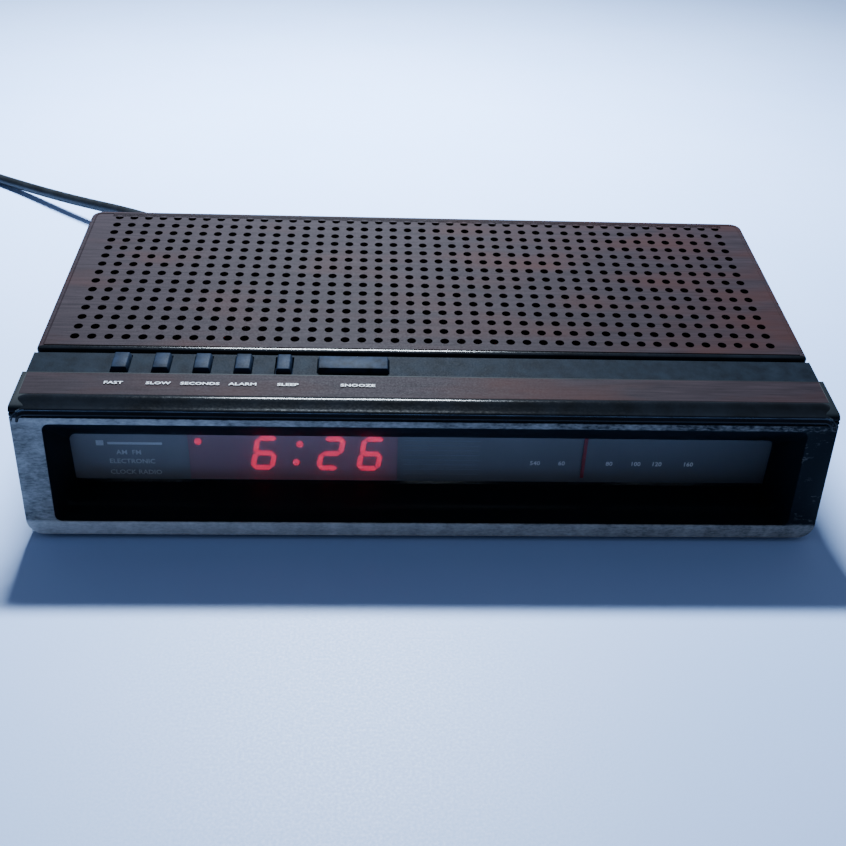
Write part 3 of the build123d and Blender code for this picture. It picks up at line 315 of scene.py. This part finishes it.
# Walnut-print foil: a matt lacquered paper print. To the eye it is a dark
# purplish brown with fine streaks along the cabinet and redder wear patches.
def streaked(name, shades, warm, streak, rough):
    """A printed wood grain: streaks along X, and warm patches that grow towards the right.

    The streak is in metres, and coarser than the print's own lines of about
    0.3 mm, so that it shows.
    """
    material = bpy.data.materials.new(name)
    material.use_nodes = True
    tree = material.node_tree
    shader = tree.nodes["Principled BSDF"]
    place = add(tree, "ShaderNodeTexCoord").outputs["Object"]
    along = add(tree, "ShaderNodeMapping", {"Vector": place, "Scale": (0.05, 1.0, 1.0)})
    fibres = add(tree, "ShaderNodeTexNoise", {
        "Vector": along.outputs["Vector"], "Scale": 1 / streak, "Detail": 8.0,
        "Roughness": 0.62, "Distortion": 0.25})
    tint = add(tree, "ShaderNodeValToRGB", {"Fac": fibres.outputs["Fac"]})
    tint.color_ramp.elements[0].position = 0.30
    tint.color_ramp.elements[0].color = colour(shades[0])
    tint.color_ramp.elements[1].position = 0.72
    tint.color_ramp.elements[1].color = colour(shades[1])
    broad = add(tree, "ShaderNodeMapping", {"Vector": place, "Scale": (0.35, 1.0, 1.0)})
    patches = add(tree, "ShaderNodeTexNoise", {"Vector": broad.outputs["Vector"], "Scale": 60.0,
                                               "Detail": 5.0})
    split = add(tree, "ShaderNodeSeparateXYZ", {"Vector": place})
    ends = add(tree, "ShaderNodeMapRange", {
        "Value": split.outputs["X"], "From Min": -0.137, "From Max": 0.137,
        "To Min": -0.10, "To Max": 0.06})
    amount = add(tree, "ShaderNodeMath", {0: patches.outputs["Fac"], 1: ends.outputs["Result"]},
                 operation="ADD")
    worn = add(tree, "ShaderNodeMapRange", {
        "Value": amount.outputs["Value"], "From Min": 0.46, "From Max": 0.72,
        "To Min": 0.0, "To Max": 0.75})
    mixed = add(tree, "ShaderNodeMix", {
        "Factor": worn.outputs["Result"], 6: tint.outputs["Color"], 7: colour(warm)},
        data_type="RGBA")
    dust = add(tree, "ShaderNodeTexNoise", {"Vector": place, "Scale": 1 / 0.0006, "Detail": 2.0})
    gloss = add(tree, "ShaderNodeMapRange", {
        "Value": dust.outputs["Fac"], "From Min": 0.3, "From Max": 0.7,
        "To Min": rough[0], "To Max": rough[1]})
    bump = add(tree, "ShaderNodeBump", {"Height": fibres.outputs["Fac"], "Distance": 0.00005,
                                        "Strength": 1.0})
    shader.inputs["Specular IOR Level"].default_value = 0.035
    tree.links.new(mixed.outputs[2], shader.inputs["Base Color"])
    tree.links.new(gloss.outputs["Result"], shader.inputs["Roughness"])
    tree.links.new(bump.outputs["Normal"], shader.inputs["Normal"])
    return material


wood_foil = streaked("walnut_print_foil", ("#1C171C", "#2F272C"), "#341F1E", 0.0009, (0.50, 0.66))
# Black styrene: injection moulded, polished in the tool, with light dust.
gloss_black = moulded("polished_black_styrene", "#080A0D", "#10141A", 0.012, 0.0008, 0.00002,
                      (0.14, 0.22), Specular_IOR_Level=0.16)

# One cell is a hole's ring drawn out to a square, a copy of it underneath,
# and the hole's wall between them.
cells = bpy.data.node_groups.new("perforated_sheet", "GeometryNodeTree")
for direction, kind, socket_names in (
        ("INPUT", "Geometry", ("Geometry",)),
        ("INPUT", "Float", ("Pitch", "Hole Radius", "Thickness")),
        ("INPUT", "Int", ("Columns", "Rows")),
        ("INPUT", "Material", ("Face", "Wall")),
        ("OUTPUT", "Geometry", ("Geometry",))):
    for socket_name in socket_names:
        cells.interface.new_socket(socket_name, in_out=direction, socket_type="NodeSocket" + kind)
sizes = add(cells, "NodeGroupInput").outputs
ring_feeds = {"Vertices": 16, "Radius": sizes["Hole Radius"]}
hole_ring = add(cells, "GeometryNodeMeshCircle", ring_feeds, fill_type="NONE")
spread = add(cells, "GeometryNodeExtrudeMesh", {
    "Mesh": hole_ring.outputs["Mesh"], "Offset Scale": 0.0}, mode="EDGES")
here = add(cells, "GeometryNodeInputPosition").outputs["Position"]
parts_of = add(cells, "ShaderNodeSeparateXYZ", {"Vector": here}).outputs
size_x = add(cells, "ShaderNodeMath", {0: parts_of["X"]}, operation="ABSOLUTE")
size_y = add(cells, "ShaderNodeMath", {0: parts_of["Y"]}, operation="ABSOLUTE")
longest = add(cells, "ShaderNodeMath", {0: size_x.outputs[0], 1: size_y.outputs[0]},
              operation="MAXIMUM")
half_pitch = add(cells, "ShaderNodeMath", {0: sizes["Pitch"], 1: 0.5}, operation="MULTIPLY")
stretch = add(cells, "ShaderNodeMath", {0: half_pitch.outputs[0], 1: longest.outputs[0]},
              operation="DIVIDE")
to_square = add(cells, "ShaderNodeVectorMath", {0: here, "Scale": stretch.outputs[0]},
                operation="SCALE")
cell_top = add(cells, "GeometryNodeSetPosition", {
    "Geometry": spread.outputs["Mesh"], "Selection": spread.outputs["Top"],
    "Position": to_square.outputs[0]})
down = add(cells, "ShaderNodeMath", {0: sizes["Thickness"], 1: -1.0}, operation="MULTIPLY")
down_vector = add(cells, "ShaderNodeCombineXYZ", {"Z": down.outputs[0]})
wall_ring = add(cells, "GeometryNodeMeshCircle", ring_feeds, fill_type="NONE")
cell_wall = add(cells, "GeometryNodeExtrudeMesh", {
    "Mesh": wall_ring.outputs["Mesh"], "Offset": down_vector.outputs[0],
    "Offset Scale": 1.0}, mode="EDGES")
cell_back = add(cells, "GeometryNodeTransform", {
    "Geometry": cell_top.outputs[0], "Translation": down_vector.outputs[0]})
cell_back_out = add(cells, "GeometryNodeFlipFaces", {"Mesh": cell_back.outputs[0]})
one_cell = add(cells, "GeometryNodeJoinGeometry")
for part_of_cell in (cell_back_out.outputs[0], cell_wall.outputs["Mesh"], cell_top.outputs[0]):
    cells.links.new(part_of_cell, one_cell.inputs[0])
last_column = add(cells, "ShaderNodeMath", {0: sizes["Columns"], 1: 1.0}, operation="SUBTRACT")
last_row = add(cells, "ShaderNodeMath", {0: sizes["Rows"], 1: 1.0}, operation="SUBTRACT")
wide = add(cells, "ShaderNodeMath", {0: last_column.outputs[0], 1: sizes["Pitch"]},
           operation="MULTIPLY")
deep = add(cells, "ShaderNodeMath", {0: last_row.outputs[0], 1: sizes["Pitch"]},
           operation="MULTIPLY")
centres = add(cells, "GeometryNodeMeshGrid", {
    "Size X": wide.outputs[0], "Size Y": deep.outputs[0],
    "Vertices X": sizes["Columns"], "Vertices Y": sizes["Rows"]})
field = add(cells, "GeometryNodeInstanceOnPoints", {
    "Points": centres.outputs["Mesh"], "Instance": one_cell.outputs[0]})
made = add(cells, "GeometryNodeRealizeInstances", {"Geometry": field.outputs[0]})
welded = add(cells, "GeometryNodeMergeByDistance", {
    "Geometry": made.outputs[0], "Distance": 0.00001})
walled = add(cells, "GeometryNodeSetMaterial", {
    "Geometry": welded.outputs[0], "Material": sizes["Wall"]})
facing = add(cells, "GeometryNodeInputNormal")
up_part = add(cells, "ShaderNodeSeparateXYZ", {"Vector": facing.outputs[0]})
is_face = add(cells, "FunctionNodeCompare", {0: up_part.outputs["Z"], 1: 0.9},
              data_type="FLOAT", operation="GREATER_THAN")
faced = add(cells, "GeometryNodeSetMaterial", {
    "Geometry": walled.outputs[0], "Selection": is_face.outputs[0], "Material": sizes["Face"]})
add(cells, "NodeGroupOutput", {"Geometry": faced.outputs[0]})


def grown(tree, values):
    """The plain mesh that a geometry tree makes from these named values."""
    holder = bpy.data.objects.new(tree.name, bpy.data.meshes.new(tree.name))
    bpy.context.scene.collection.objects.link(holder)
    modifier = holder.modifiers.new(tree.name, "NODES")
    modifier.node_group = tree
    for item in tree.interface.items_tree:
        if item.in_out == "INPUT" and item.name in values:
            modifier[item.identifier] = values[item.name]
    graph = bpy.context.evaluated_depsgraph_get()
    mesh = bpy.data.meshes.new_from_object(holder.evaluated_get(graph))
    bpy.data.objects.remove(holder)
    return mesh


sheet_mesh = grown(cells, {
    "Pitch": hole_pitch, "Hole Radius": hole_radius, "Thickness": cover_thick,
    "Columns": hole_columns, "Rows": hole_rows, "Face": wood_foil, "Wall": gloss_black})
sheet_mesh.transform(Matrix.Translation((0, (field_front + field_back) / 2, 0)))

# The border: rings of points from the field's edge out over the rounded rim
# and back under it, with a fine groove where the foil ends.
outline = []
corner_steps, back_round, front_round = 6, 0.0045, 0.0012
for corner_x, corner_s, corner_radius, start in (
        (cover_half, cover_back, back_round, 0), (-cover_half, cover_back, back_round, 90),
        (-cover_half, cover_front, front_round, 180), (cover_half, cover_front, front_round, 270)):
    for step in range(corner_steps + 1):
        turn = radians(start + 90 * step / corner_steps)
        side_x, side_s = (1 if corner_x > 0 else -1), (1 if corner_s == cover_back else -1)
        outline.append((corner_x - side_x * corner_radius, corner_s - side_s * corner_radius,
                        corner_radius, cos(turn), sin(turn)))
cover_middle = (cover_front + cover_back) / 2


def cover_ring(form, inset, height):
    """One ring of the cover's outline, drawn in by inset."""
    ring = []
    for x, s, r, c, n in outline:
        out, past = max(r - inset, 0.0), max(inset - r, 0.0)
        ring.append(form.verts.new((x + out * c - past * (1 if x > 0 else -1),
                                    s + out * n - past * (1 if s > cover_middle else -1), height)))
    return ring


def field_ring(form, height):
    """The outline's points, each brought in to the edge of the field of holes."""
    return [form.verts.new((min(max(x, -field_half), field_half),
                            min(max(s, field_front), field_back), height))
            for x, s, r, c, n in outline]


border = bmesh.new()
rim_profile = [(0.0024, 0.0), (0.0021, -0.00035), (0.0018, 0.0), (0.0009, 0.0),
               (0.00035, -0.00022), (0.0, -0.0009), (0.0, -cover_thick)]
rim_rings = [cover_ring(border, inset, height) for inset, height in rim_profile]
rim_rings = [field_ring(border, 0.0)] + rim_rings + [field_ring(border, -cover_thick)]
for inner, outer in zip(rim_rings, rim_rings[1:]):
    for i in range(len(outline)):
        j = (i + 1) % len(outline)
        border.faces.new((inner[i], outer[i], outer[j], inner[j]))
bmesh.ops.remove_doubles(border, verts=border.verts, dist=0.000005)
bmesh.ops.recalc_face_normals(border, faces=border.faces)
border_mesh = bpy.data.meshes.new("border")
border.to_mesh(border_mesh)
border.free()
border_mesh.materials.append(wood_foil)
border_mesh.materials.append(gloss_black)
rolled_edge, foil_ends = cover_front + 0.0022, -0.0004
for face in border_mesh.polygons:
    if face.center.y < rolled_edge or face.center.z < foil_ends:
        face.material_index = 1


def joined(name, meshes):
    """One mesh from several, with each one's materials kept."""
    finishes = []
    form = bmesh.new()
    for mesh in meshes:
        for finish in mesh.materials:
            if finish not in finishes:
                finishes.append(finish)
        slots = [finishes.index(finish) for finish in mesh.materials]
        for face in mesh.polygons:
            face.material_index = slots[face.material_index] if slots else 0
        form.from_mesh(mesh)
    whole = bpy.data.meshes.new(name)
    form.to_mesh(whole)
    form.free()
    for finish in finishes:
        whole.materials.append(finish)
    whole.shade_smooth()
    whole.set_sharp_from_angle(angle=radians(30))
    return whole


cover_mesh = joined("grille", [sheet_mesh, border_mesh])
cover_mesh.transform(top_plane)
solid_piece("perforated_cover", cover_mesh, "cabinet", "wood_foil", "grille_cover")

# Control deck: a strip of black styrene sunk between the cover and the label
# strip, dulled by handling. Its slate-blue colour is a painted reflection of
# the light, and its own gloss is turned nearly off.
deck_black_and_sheen = moulded("handled_styrene_painted_sheen", "#0D1219", "#161D26", 0.006, 0.0005, 0.00004,
                     (0.50, 0.66), Specular_IOR_Level=0.025)
eased_piece("key_deck", "control_deck", "cabinet", "black_moulding", deck_black_and_sheen, 0.0002, 1)


# Label strip: the same foil, lettered in white under each key with what the
# key does. The words are screen printed, a fraction of a millimetre thick.
def clad(node_name, finish):
    """Gives a CAD node its finish."""
    nodes[node_name].data.materials.clear()
    nodes[node_name].data.materials.append(finish)


clad("label_strip", wood_foil)


def lettering(words, size, place, align="CENTER", stretch_x=1.0):
    """A thin mesh of printed words, with its lower side on the plane that place gives."""
    curve = bpy.data.curves.new("words", "FONT")
    curve.body = words
    curve.size = size
    curve.align_x = align
    curve.align_y = "CENTER"
    curve.extrude = 0.00002
    curve.offset = 0.00004
    curve.resolution_u = 2
    holder = bpy.data.objects.new("words", curve)
    bpy.context.scene.collection.objects.link(holder)
    graph = bpy.context.evaluated_depsgraph_get()
    mesh = bpy.data.meshes.new_from_object(holder.evaluated_get(graph))
    bpy.data.objects.remove(holder)
    mesh.transform(place @ Matrix.Diagonal((stretch_x, 1.0, 1.0, 1.0)))
    return mesh


# Screen ink: flat white, rubbed a little grey.
white_ink = moulded("white_screen_ink", "#8D8F99", "#C4C5CC", 0.0009, 0.0002, 0.00001, (0.45, 0.6))
label_size, label_width, label_s, label_lift = 0.0019, 1.55, 0.0133, 0.00033
labels = []
for words, label_x in (("FAST", -0.1073), ("SLOW", -0.0923), ("SECONDS", -0.0783),
                       ("ALARM", -0.0639), ("SLEEP", -0.0487), ("SNOOZE", -0.0249)):
    label_place = top_plane @ Matrix.Translation((label_x, label_s, label_lift))
    labels.append(lettering(words, label_size, label_place, stretch_x=label_width))
label_mesh = joined("labels", labels)
label_mesh.materials.clear()
label_mesh.materials.append(white_ink)
solid_piece("key_labels", label_mesh, "cabinet", "wood_foil")

# Keys: five small square keys and the long snooze bar, moulded with sloping
# skirts. Their tops are dulled by years of fingers, and their slate-blue
# colour is a painted reflection of the light, with their gloss nearly off.
key_black_and_sheen = moulded("fingered_styrene_painted_sheen", "#111823", "#202B3D", 0.004, 0.0004, 0.00003,
                    (0.44, 0.58), Specular_IOR_Level=0.03)
for key in ("fast_button", "slow_button", "seconds_button", "alarm_button", "sleep_button",
            "snooze_bar"):
    eased_piece(key + "_cap", key, key, "black_moulding", key_black_and_sheen, 0.0003)

# Front bezel: one large styrene moulding with the lip, the ribs and the deep
# recess. Its paint-like skin is rubbed grey and dusty in patches. It is also
# painted lighter towards the left, partly dust and partly painted reflection,
# and along the sill, partly dust and partly painted light in the sill's shade.
# It is a little lighter along the top strip, and stays dark towards the right.
worn_and_lit_bezel = bpy.data.materials.new("rubbed_and_lit_black_styrene")
worn_and_lit_bezel.use_nodes = True
skin_tree = worn_and_lit_bezel.node_tree
skin_place = add(skin_tree, "ShaderNodeTexCoord").outputs["Object"]
axes = add(skin_tree, "ShaderNodeSeparateXYZ", {"Vector": skin_place}).outputs
smudge_width, scratch_width = 0.0060, 0.0007
smudge = add(skin_tree, "ShaderNodeTexNoise", {
    "Vector": skin_place, "Scale": 1 / smudge_width, "Detail": 6.0, "Roughness": 0.6})
brushed = add(skin_tree, "ShaderNodeMapping", {"Vector": skin_place, "Scale": (0.35, 1.0, 1.0)})
speckle = add(skin_tree, "ShaderNodeTexNoise", {
    "Vector": brushed.outputs["Vector"], "Scale": 1 / scratch_width, "Detail": 4.0,
    "Roughness": 0.65})
# Lighter towards the left: partly dust, partly painted reflection.
leftward = add(skin_tree, "ShaderNodeMapRange", {
    "Value": axes["X"], "From Min": 0.14, "From Max": -0.14, "To Min": -0.93, "To Max": -0.40})
# Lighter along the sill: partly dust, partly painted light that lifts the sill's shade.
sill = add(skin_tree, "ShaderNodeMapRange", {
    "Value": axes["Z"], "From Min": 0.0078, "From Max": 0.0068, "To Min": 0.0, "To Max": 0.50})
top_strip = add(skin_tree, "ShaderNodeMapRange", {
    "Value": axes["Z"], "From Min": 0.0440, "From Max": 0.0452, "To Min": 0.0, "To Max": 0.20})
# The face leans back as it rises. The dust and painted light stop behind it, and under the lip.
face_lean = 0.08397
behind_face = add(skin_tree, "ShaderNodeMath", {0: axes["Z"], 1: -face_lean, 2: axes["Y"]},
                  operation="MULTIPLY_ADD")
front_only = add(skin_tree, "ShaderNodeMapRange", {
    "Value": behind_face.outputs[0], "From Min": -0.07057, "From Max": -0.07087,
    "To Min": -1.5, "To Max": 0.0})
under_lip = add(skin_tree, "ShaderNodeMapRange", {
    "Value": axes["Z"], "From Min": 0.0470, "From Max": 0.0476, "To Min": 0.0, "To Max": -1.5})
masks = add(skin_tree, "ShaderNodeMath", {
    0: front_only.outputs["Result"], 1: under_lip.outputs["Result"]}, operation="ADD")
lighter_edges = add(skin_tree, "ShaderNodeMath", {
    0: top_strip.outputs["Result"], 1: sill.outputs["Result"]}, operation="ADD")
base_lightening = add(skin_tree, "ShaderNodeMath", {
    0: leftward.outputs["Result"], 1: lighter_edges.outputs[0]}, operation="ADD")
dust_and_light = add(skin_tree, "ShaderNodeMath", {0: smudge.outputs["Fac"], 1: 0.75, 2: base_lightening.outputs[0]},
          operation="MULTIPLY_ADD")
dust_and_light_speckled = add(skin_tree, "ShaderNodeMath", {
    0: speckle.outputs["Fac"], 1: 0.85, 2: dust_and_light.outputs[0]}, operation="MULTIPLY_ADD")
dust_and_light_amount = add(skin_tree, "ShaderNodeMath", {0: dust_and_light_speckled.outputs[0], 1: masks.outputs[0]},
             operation="ADD", use_clamp=True)
# Dark base colour, and pale grey where the dust and painted light lie.
skin = add(skin_tree, "ShaderNodeMix", {
    "Factor": dust_and_light_amount.outputs[0], 6: colour("#10161B"), 7: colour("#C6C7C6")}, data_type="RGBA")
skin_gloss = add(skin_tree, "ShaderNodeMapRange", {
    "Value": dust_and_light_amount.outputs[0], "To Min": 0.50, "To Max": 0.70})
skin_bump = add(skin_tree, "ShaderNodeBump", {
    "Height": speckle.outputs["Fac"], "Distance": 0.00005, "Strength": 1.0})
skin_shader = skin_tree.nodes["Principled BSDF"]
skin_shader.inputs["Specular IOR Level"].default_value = 0.06
skin_tree.links.new(skin.outputs[2], skin_shader.inputs["Base Color"])
skin_tree.links.new(skin_gloss.outputs["Result"], skin_shader.inputs["Roughness"])
skin_tree.links.new(skin_bump.outputs["Normal"], skin_shader.inputs["Normal"])
eased_piece("bezel_moulding", "front_bezel", "cabinet", "black_moulding", worn_and_lit_bezel, 0.0003)

# Lip: the bezel's rolled top edge, a polished black bead along the front,
# with two fine ribs under it on the face. It turns down over both corners.
bezel_round, bezel_half = 0.0055, 0.139
slope_tan = 0.14946
face_y, face_z = -0.071, 0.002             # the foot of the leaning face
face_cos, face_sin = 0.9965, 0.0837
# (distance back along the top, height above it), then (distance up the face,
# distance in front of it).
lip_profile = [(0.0073, -0.0004), (0.0070, 0.0001), (0.0066, 0.00055), (0.0060, 0.00085),
               (0.0053, 0.00095), (0.0044, 0.00080), (0.0034, 0.00050), (0.0024, 0.00020),
               (0.0014, 0.00002), (0.0005, -0.0002)]
rib_profile = [(0.04885, 0.00015), (0.04870, 0.00035), (0.04840, 0.00040), (0.04815, 0.00030),
               (0.0480, 0.0), (0.0474, 0.0), (0.0471, 0.00030), (0.0468, 0.00040),
               (0.0464, 0.00038), (0.0462, 0.0002), (0.0461, -0.0004)]
lip_section = [(top_y + slope_cos * s - slope_sin * h, top_z + slope_sin * s + slope_cos * h)
               for s, h in lip_profile]
lip_section += [(face_y + face_sin * v - face_cos * d, face_z + face_cos * v + face_sin * d)
                for v, d in rib_profile]
corner_stations, corner_turn = 11, 8.5
stations = [(-1, (corner_stations - 1 - step) * corner_turn) for step in range(corner_stations)]
stations += [(1, corner_turn * step) for step in range(corner_stations)]
lip_form = bmesh.new()
sections = []
for side, turn in stations:
    section = []
    for y, z in lip_section:
        surface = top_z + (y - top_y) * slope_tan
        reach = bezel_round + z - surface
        x = side * (bezel_half - bezel_round + reach * sin(radians(turn)))
        height = surface - bezel_round + reach * cos(radians(turn))
        section.append(lip_form.verts.new((x, y, height)))
    sections.append(section)
for before, after in zip(sections, sections[1:]):
    for i in range(len(before)):
        j = (i + 1) % len(before)
        lip_form.faces.new((before[i], before[j], after[j], after[i]))
lip_form.faces.new(sections[0])
lip_form.faces.new(sections[-1])
bmesh.ops.remove_doubles(lip_form, verts=lip_form.verts, dist=0.000002)
bmesh.ops.recalc_face_normals(lip_form, faces=lip_form.faces)
lip_mesh = bpy.data.meshes.new("rolled_lip")
lip_form.to_mesh(lip_mesh)
lip_form.free()
lip_mesh.materials.append(gloss_black)
# The upper rib's crest carries a painted highlight, a line of pale colour.
rib_highlight_black = moulded("black_styrene_painted_highlight", "#2A323A", "#626E78", 0.010, 0.0006, 0.00002,
                      (0.5, 0.7), Specular_IOR_Level=0.06)
lip_mesh.materials.append(rib_highlight_black)
highlight_from, highlight_to, highlight_front = 0.0499, 0.0507, -0.0668
for face in lip_mesh.polygons:
    rise = face.center.z + face_lean * (face.center.y - face_y)
    if highlight_from < rise < highlight_to and face.center.y < highlight_front:
        face.material_index = 1
lip_mesh.shade_smooth()
lip_mesh.set_sharp_from_angle(angle=radians(50))
solid_piece("rolled_lip", lip_mesh, "cabinet", "black_moulding")

# Window: a sheet of smoked clear acrylic. It darkens what is behind it, and
# its pale grey-blue colour lays a faint painted reflection over it.
smoked_and_sheen = moulded("smoked_acrylic_painted_reflection", "#5C6874", "#687480", 0.03, 0.0010, 0.000004, (0.30, 0.40),
                 Alpha=0.09, IOR=1.49)
clad("window_lens", smoked_and_sheen)

# Dial plate: a slate-grey printed sheet with an opening for the display. Its
# print is a block of plain lines, the maker's corner and the tuning scale.
# Printed card: matt, and paler towards the left.
dial_grey = moulded("printed_slate_sheet", "#A0A1A6", "#ACADB2", 0.02, 0.0006, 0.00001, (0.5, 0.65))
card_tree = dial_grey.node_tree
card_colour = card_tree.nodes["Principled BSDF"].inputs["Base Color"]
printed = card_colour.links[0].from_socket
card_place = add(card_tree, "ShaderNodeTexCoord").outputs["Object"]
sideways = add(card_tree, "ShaderNodeSeparateXYZ", {"Vector": card_place}).outputs["X"]
darker_to_right = add(card_tree, "ShaderNodeMapRange", {
    "Value": sideways, "From Min": -0.12, "From Max": 0.12, "To Min": 0.0, "To Max": 0.9})
card = add(card_tree, "ShaderNodeMix", {
    "Factor": darker_to_right.outputs["Result"], 6: printed, 7: colour("#52585E")}, data_type="RGBA")
card_tree.links.new(card.outputs[2], card_colour)
clad("dial_plate", dial_grey)
dial_face = Matrix.Translation((0, -0.0421, 0)) @ Matrix.Rotation(radians(90), 4, "X")
# Pale ink: a flat print that looks nearly white beside the card.
pale_ink = moulded("pale_dial_ink", "#E6ECF2", "#F2F6FA", 0.0012, 0.0003, 0.00001, (0.5, 0.65))
word_size, number_size, ink_lift, scale_z = 0.0028, 0.0026, 0.00003, 0.0137
prints = []
for words, words_x, words_z, align in (
        ("AM  FM", -0.1085, 0.0170, "CENTER"), ("ELECTRONIC", -0.1160, 0.0131, "LEFT"),
        ("CLOCK RADIO", -0.1162, 0.0083, "LEFT")):
    words_place = dial_face @ Matrix.Translation((words_x, words_z, ink_lift))
    prints.append(lettering(words, word_size, words_place, align))
for number, mark_x in (("540", 0.0410), ("60", 0.0510), ("80", 0.0690), ("100", 0.0790),
                       ("120", 0.0870), ("160", 0.0990)):
    mark_place = dial_face @ Matrix.Translation((mark_x, scale_z, ink_lift))
    prints.append(lettering(number, number_size, mark_place))


def plate(x0, x1, z0, z1, y0, y1):
    """A closed box between these limits."""
    form = bmesh.new()
    bmesh.ops.create_cube(form, size=1.0)
    mesh = bpy.data.meshes.new("plate")
    form.to_mesh(mesh)
    form.free()
    mesh.transform(Matrix.Translation(((x0 + x1) / 2, (y0 + y1) / 2, (z0 + z1) / 2))
                   @ Matrix.Diagonal((x1 - x0, y1 - y0, z1 - z0, 1.0)))
    return mesh


# A plain square and bar fill the maker's corner.
ink_back, ink_front = -0.04210, -0.04216
prints.append(plate(-0.1199, -0.1172, 0.0200, 0.0222, ink_front, ink_back))
prints.append(plate(-0.1158, -0.0962, 0.0205, 0.0215, ink_front, ink_back))
print_mesh = joined("dial_print", prints)
print_mesh.materials.clear()
print_mesh.materials.append(pale_ink)
solid_piece("dial_lettering", print_mesh, "cabinet", "dial_print")
# The same ink worn thin, in a block of eight plain lines.
thin_ink = moulded("thin_dial_ink", "#8A939C", "#98A1AA", 0.0012, 0.0003, 0.00001, (0.5, 0.65))
line_count, line_pitch, lowest_line, line_thick = 8, 0.00212, 0.0084, 0.00022
line_left, line_right = -0.0081, 0.0200
line_heights = [lowest_line + line * line_pitch for line in range(line_count)]
lines_mesh = joined("dial_lines", [
    plate(line_left, line_right, z, z + line_thick, ink_front, ink_back) for z in line_heights])
lines_mesh.materials.append(thin_ink)
solid_piece("dial_lines", lines_mesh, "cabinet", "dial_print")

# Display: a dark red acrylic filter over a black housing with lit bars. The
# filter hazes them to a dusky rose, and the bars glow an even pinkish red.
filter_red = moulded("dark_red_filter", "#D2A8B2", "#DAB2BC", 0.02, 0.001, 0.000004, (0.3, 0.4),
                     Alpha=0.55, IOR=1.49)
clad("display_filter", filter_red)
lit = moulded("lit_red_bars", "#FF2A50", "#FF3A5C", 0.004, 0.0005, 0.0, (0.4, 0.5),
              Emission_Strength=2.8, Emission_Color=colour("#FF0C50"))
clad("lit_segments", lit)

# Pointer: a red styrene blade, moulded with a low sheen, on a carriage that
# runs along a steel rail.
pointer_red = moulded("red_styrene", "#8C2A34", "#A43640", 0.003, 0.0004, 0.00001, (0.35, 0.5))
clad("dial_pointer", pointer_red)

# Cabinet shell, base, wheels and slide knobs: black styrene from a spark-
# textured tool, so that it is matt with a soft sheen on its edges.
shell_black = moulded("textured_black_styrene", "#101315", "#1A1D21", 0.010, 0.0006, 0.00005,
                      (0.42, 0.58), Specular_IOR_Level=0.2)
for piece_name, node_name, body, edge in (
        ("rear_shell", "cabinet_shell", "cabinet", 0.0003),
        ("base_moulding", "base_plate", "cabinet", 0.0002),
        ("function_slider", "function_knob", "function_slide", 0.0003),
        ("band_slider", "band_knob", "band_slide", 0.0003)):
    eased_piece(piece_name, node_name, body, "black_moulding", shell_black, edge)
for node_name in ("tuning_wheel", "volume_wheel"):
    clad(node_name, shell_black)

# Feet: four pads of soft moulded rubber, matt and faintly dusty.
rubber = moulded("soft_rubber", "#151617", "#222324", 0.004, 0.0004, 0.00004, (0.6, 0.8))
for end in ("front", "rear"):
    for side in ("left", "right"):
        clad(f"foot_{end}_{side}", rubber)

# Works: what shows through the holes and vents. Boards are phenolic paper,
# frames and screws plated steel, and the rest moulded, wound or sintered.
# Brown laminate with paler fibre clouds.
phenolic = moulded("phenolic_paper_board", "#5B3B1C", "#75502A", 0.012, 0.0005, 0.00002,
                   (0.45, 0.6))
# Bright grey metal with a slightly mottled plating.
plated = moulded("zinc_plated_steel", "#8B8F92", "#A9ADB0", 0.006, 0.0003, 0.00001, (0.25, 0.4),
                 Metallic=1.0)
# Waxy off-white, with soft gloss.
milky = moulded("milky_polythene", "#B9B6AA", "#CFCCC0", 0.006, 0.0004, 0.00001, (0.4, 0.55))
# Copper-brown windings under varnish, with the wires as fine relief.
wound = moulded("taped_enamelled_wire", "#7A3A17", "#9A5424", 0.0012, 0.0002, 0.00004, (0.3, 0.5))
# Charcoal grey and dull, like unglazed stoneware.
sintered = moulded("sintered_ferrite", "#1B1C1F", "#2A2C30", 0.003, 0.0003, 0.00003, (0.55, 0.75))
# Black and fibrous, with no gloss at all.
paper = moulded("pressed_paper_cone", "#141414", "#1E1E1D", 0.004, 0.0003, 0.00006, (0.8, 0.95))
# Black, soft and lightless.
felt = moulded("black_felt", "#121212", "#1C1C1C", 0.002, 0.0002, 0.0001, (0.9, 1.0))
# Black with a dull moulded skin.
epoxy = moulded("moulded_epoxy", "#101112", "#1A1B1D", 0.004, 0.0003, 0.00002, (0.4, 0.55))
for finish, names in (
        (phenolic, ("led_board", "switch_board", "main_board", "clock_board")),
        (plated, ("pointer_rail", "rail_brackets", "case_screws", "board_screws", "speaker_frame",
                  "transformer_frame", "transformer_core", "if_transformers", "tuning_shaft")),
        (milky, ("tuning_capacitor", "aerial_brackets")),
        (wound, ("transformer_coil", "aerial_coil")),
        (sintered, ("ferrite_rod", "speaker_magnet")),
        (paper, ("speaker_cone",)),
        (felt, ("speaker_gasket",)),
        (epoxy, ("electrolytic_capacitors", "audio_chip", "clock_chip", "led_housing",
                 "tact_switches", "volume_pot", "function_switch", "band_switch"))):
    for node_name in names:
        clad(node_name, finish)
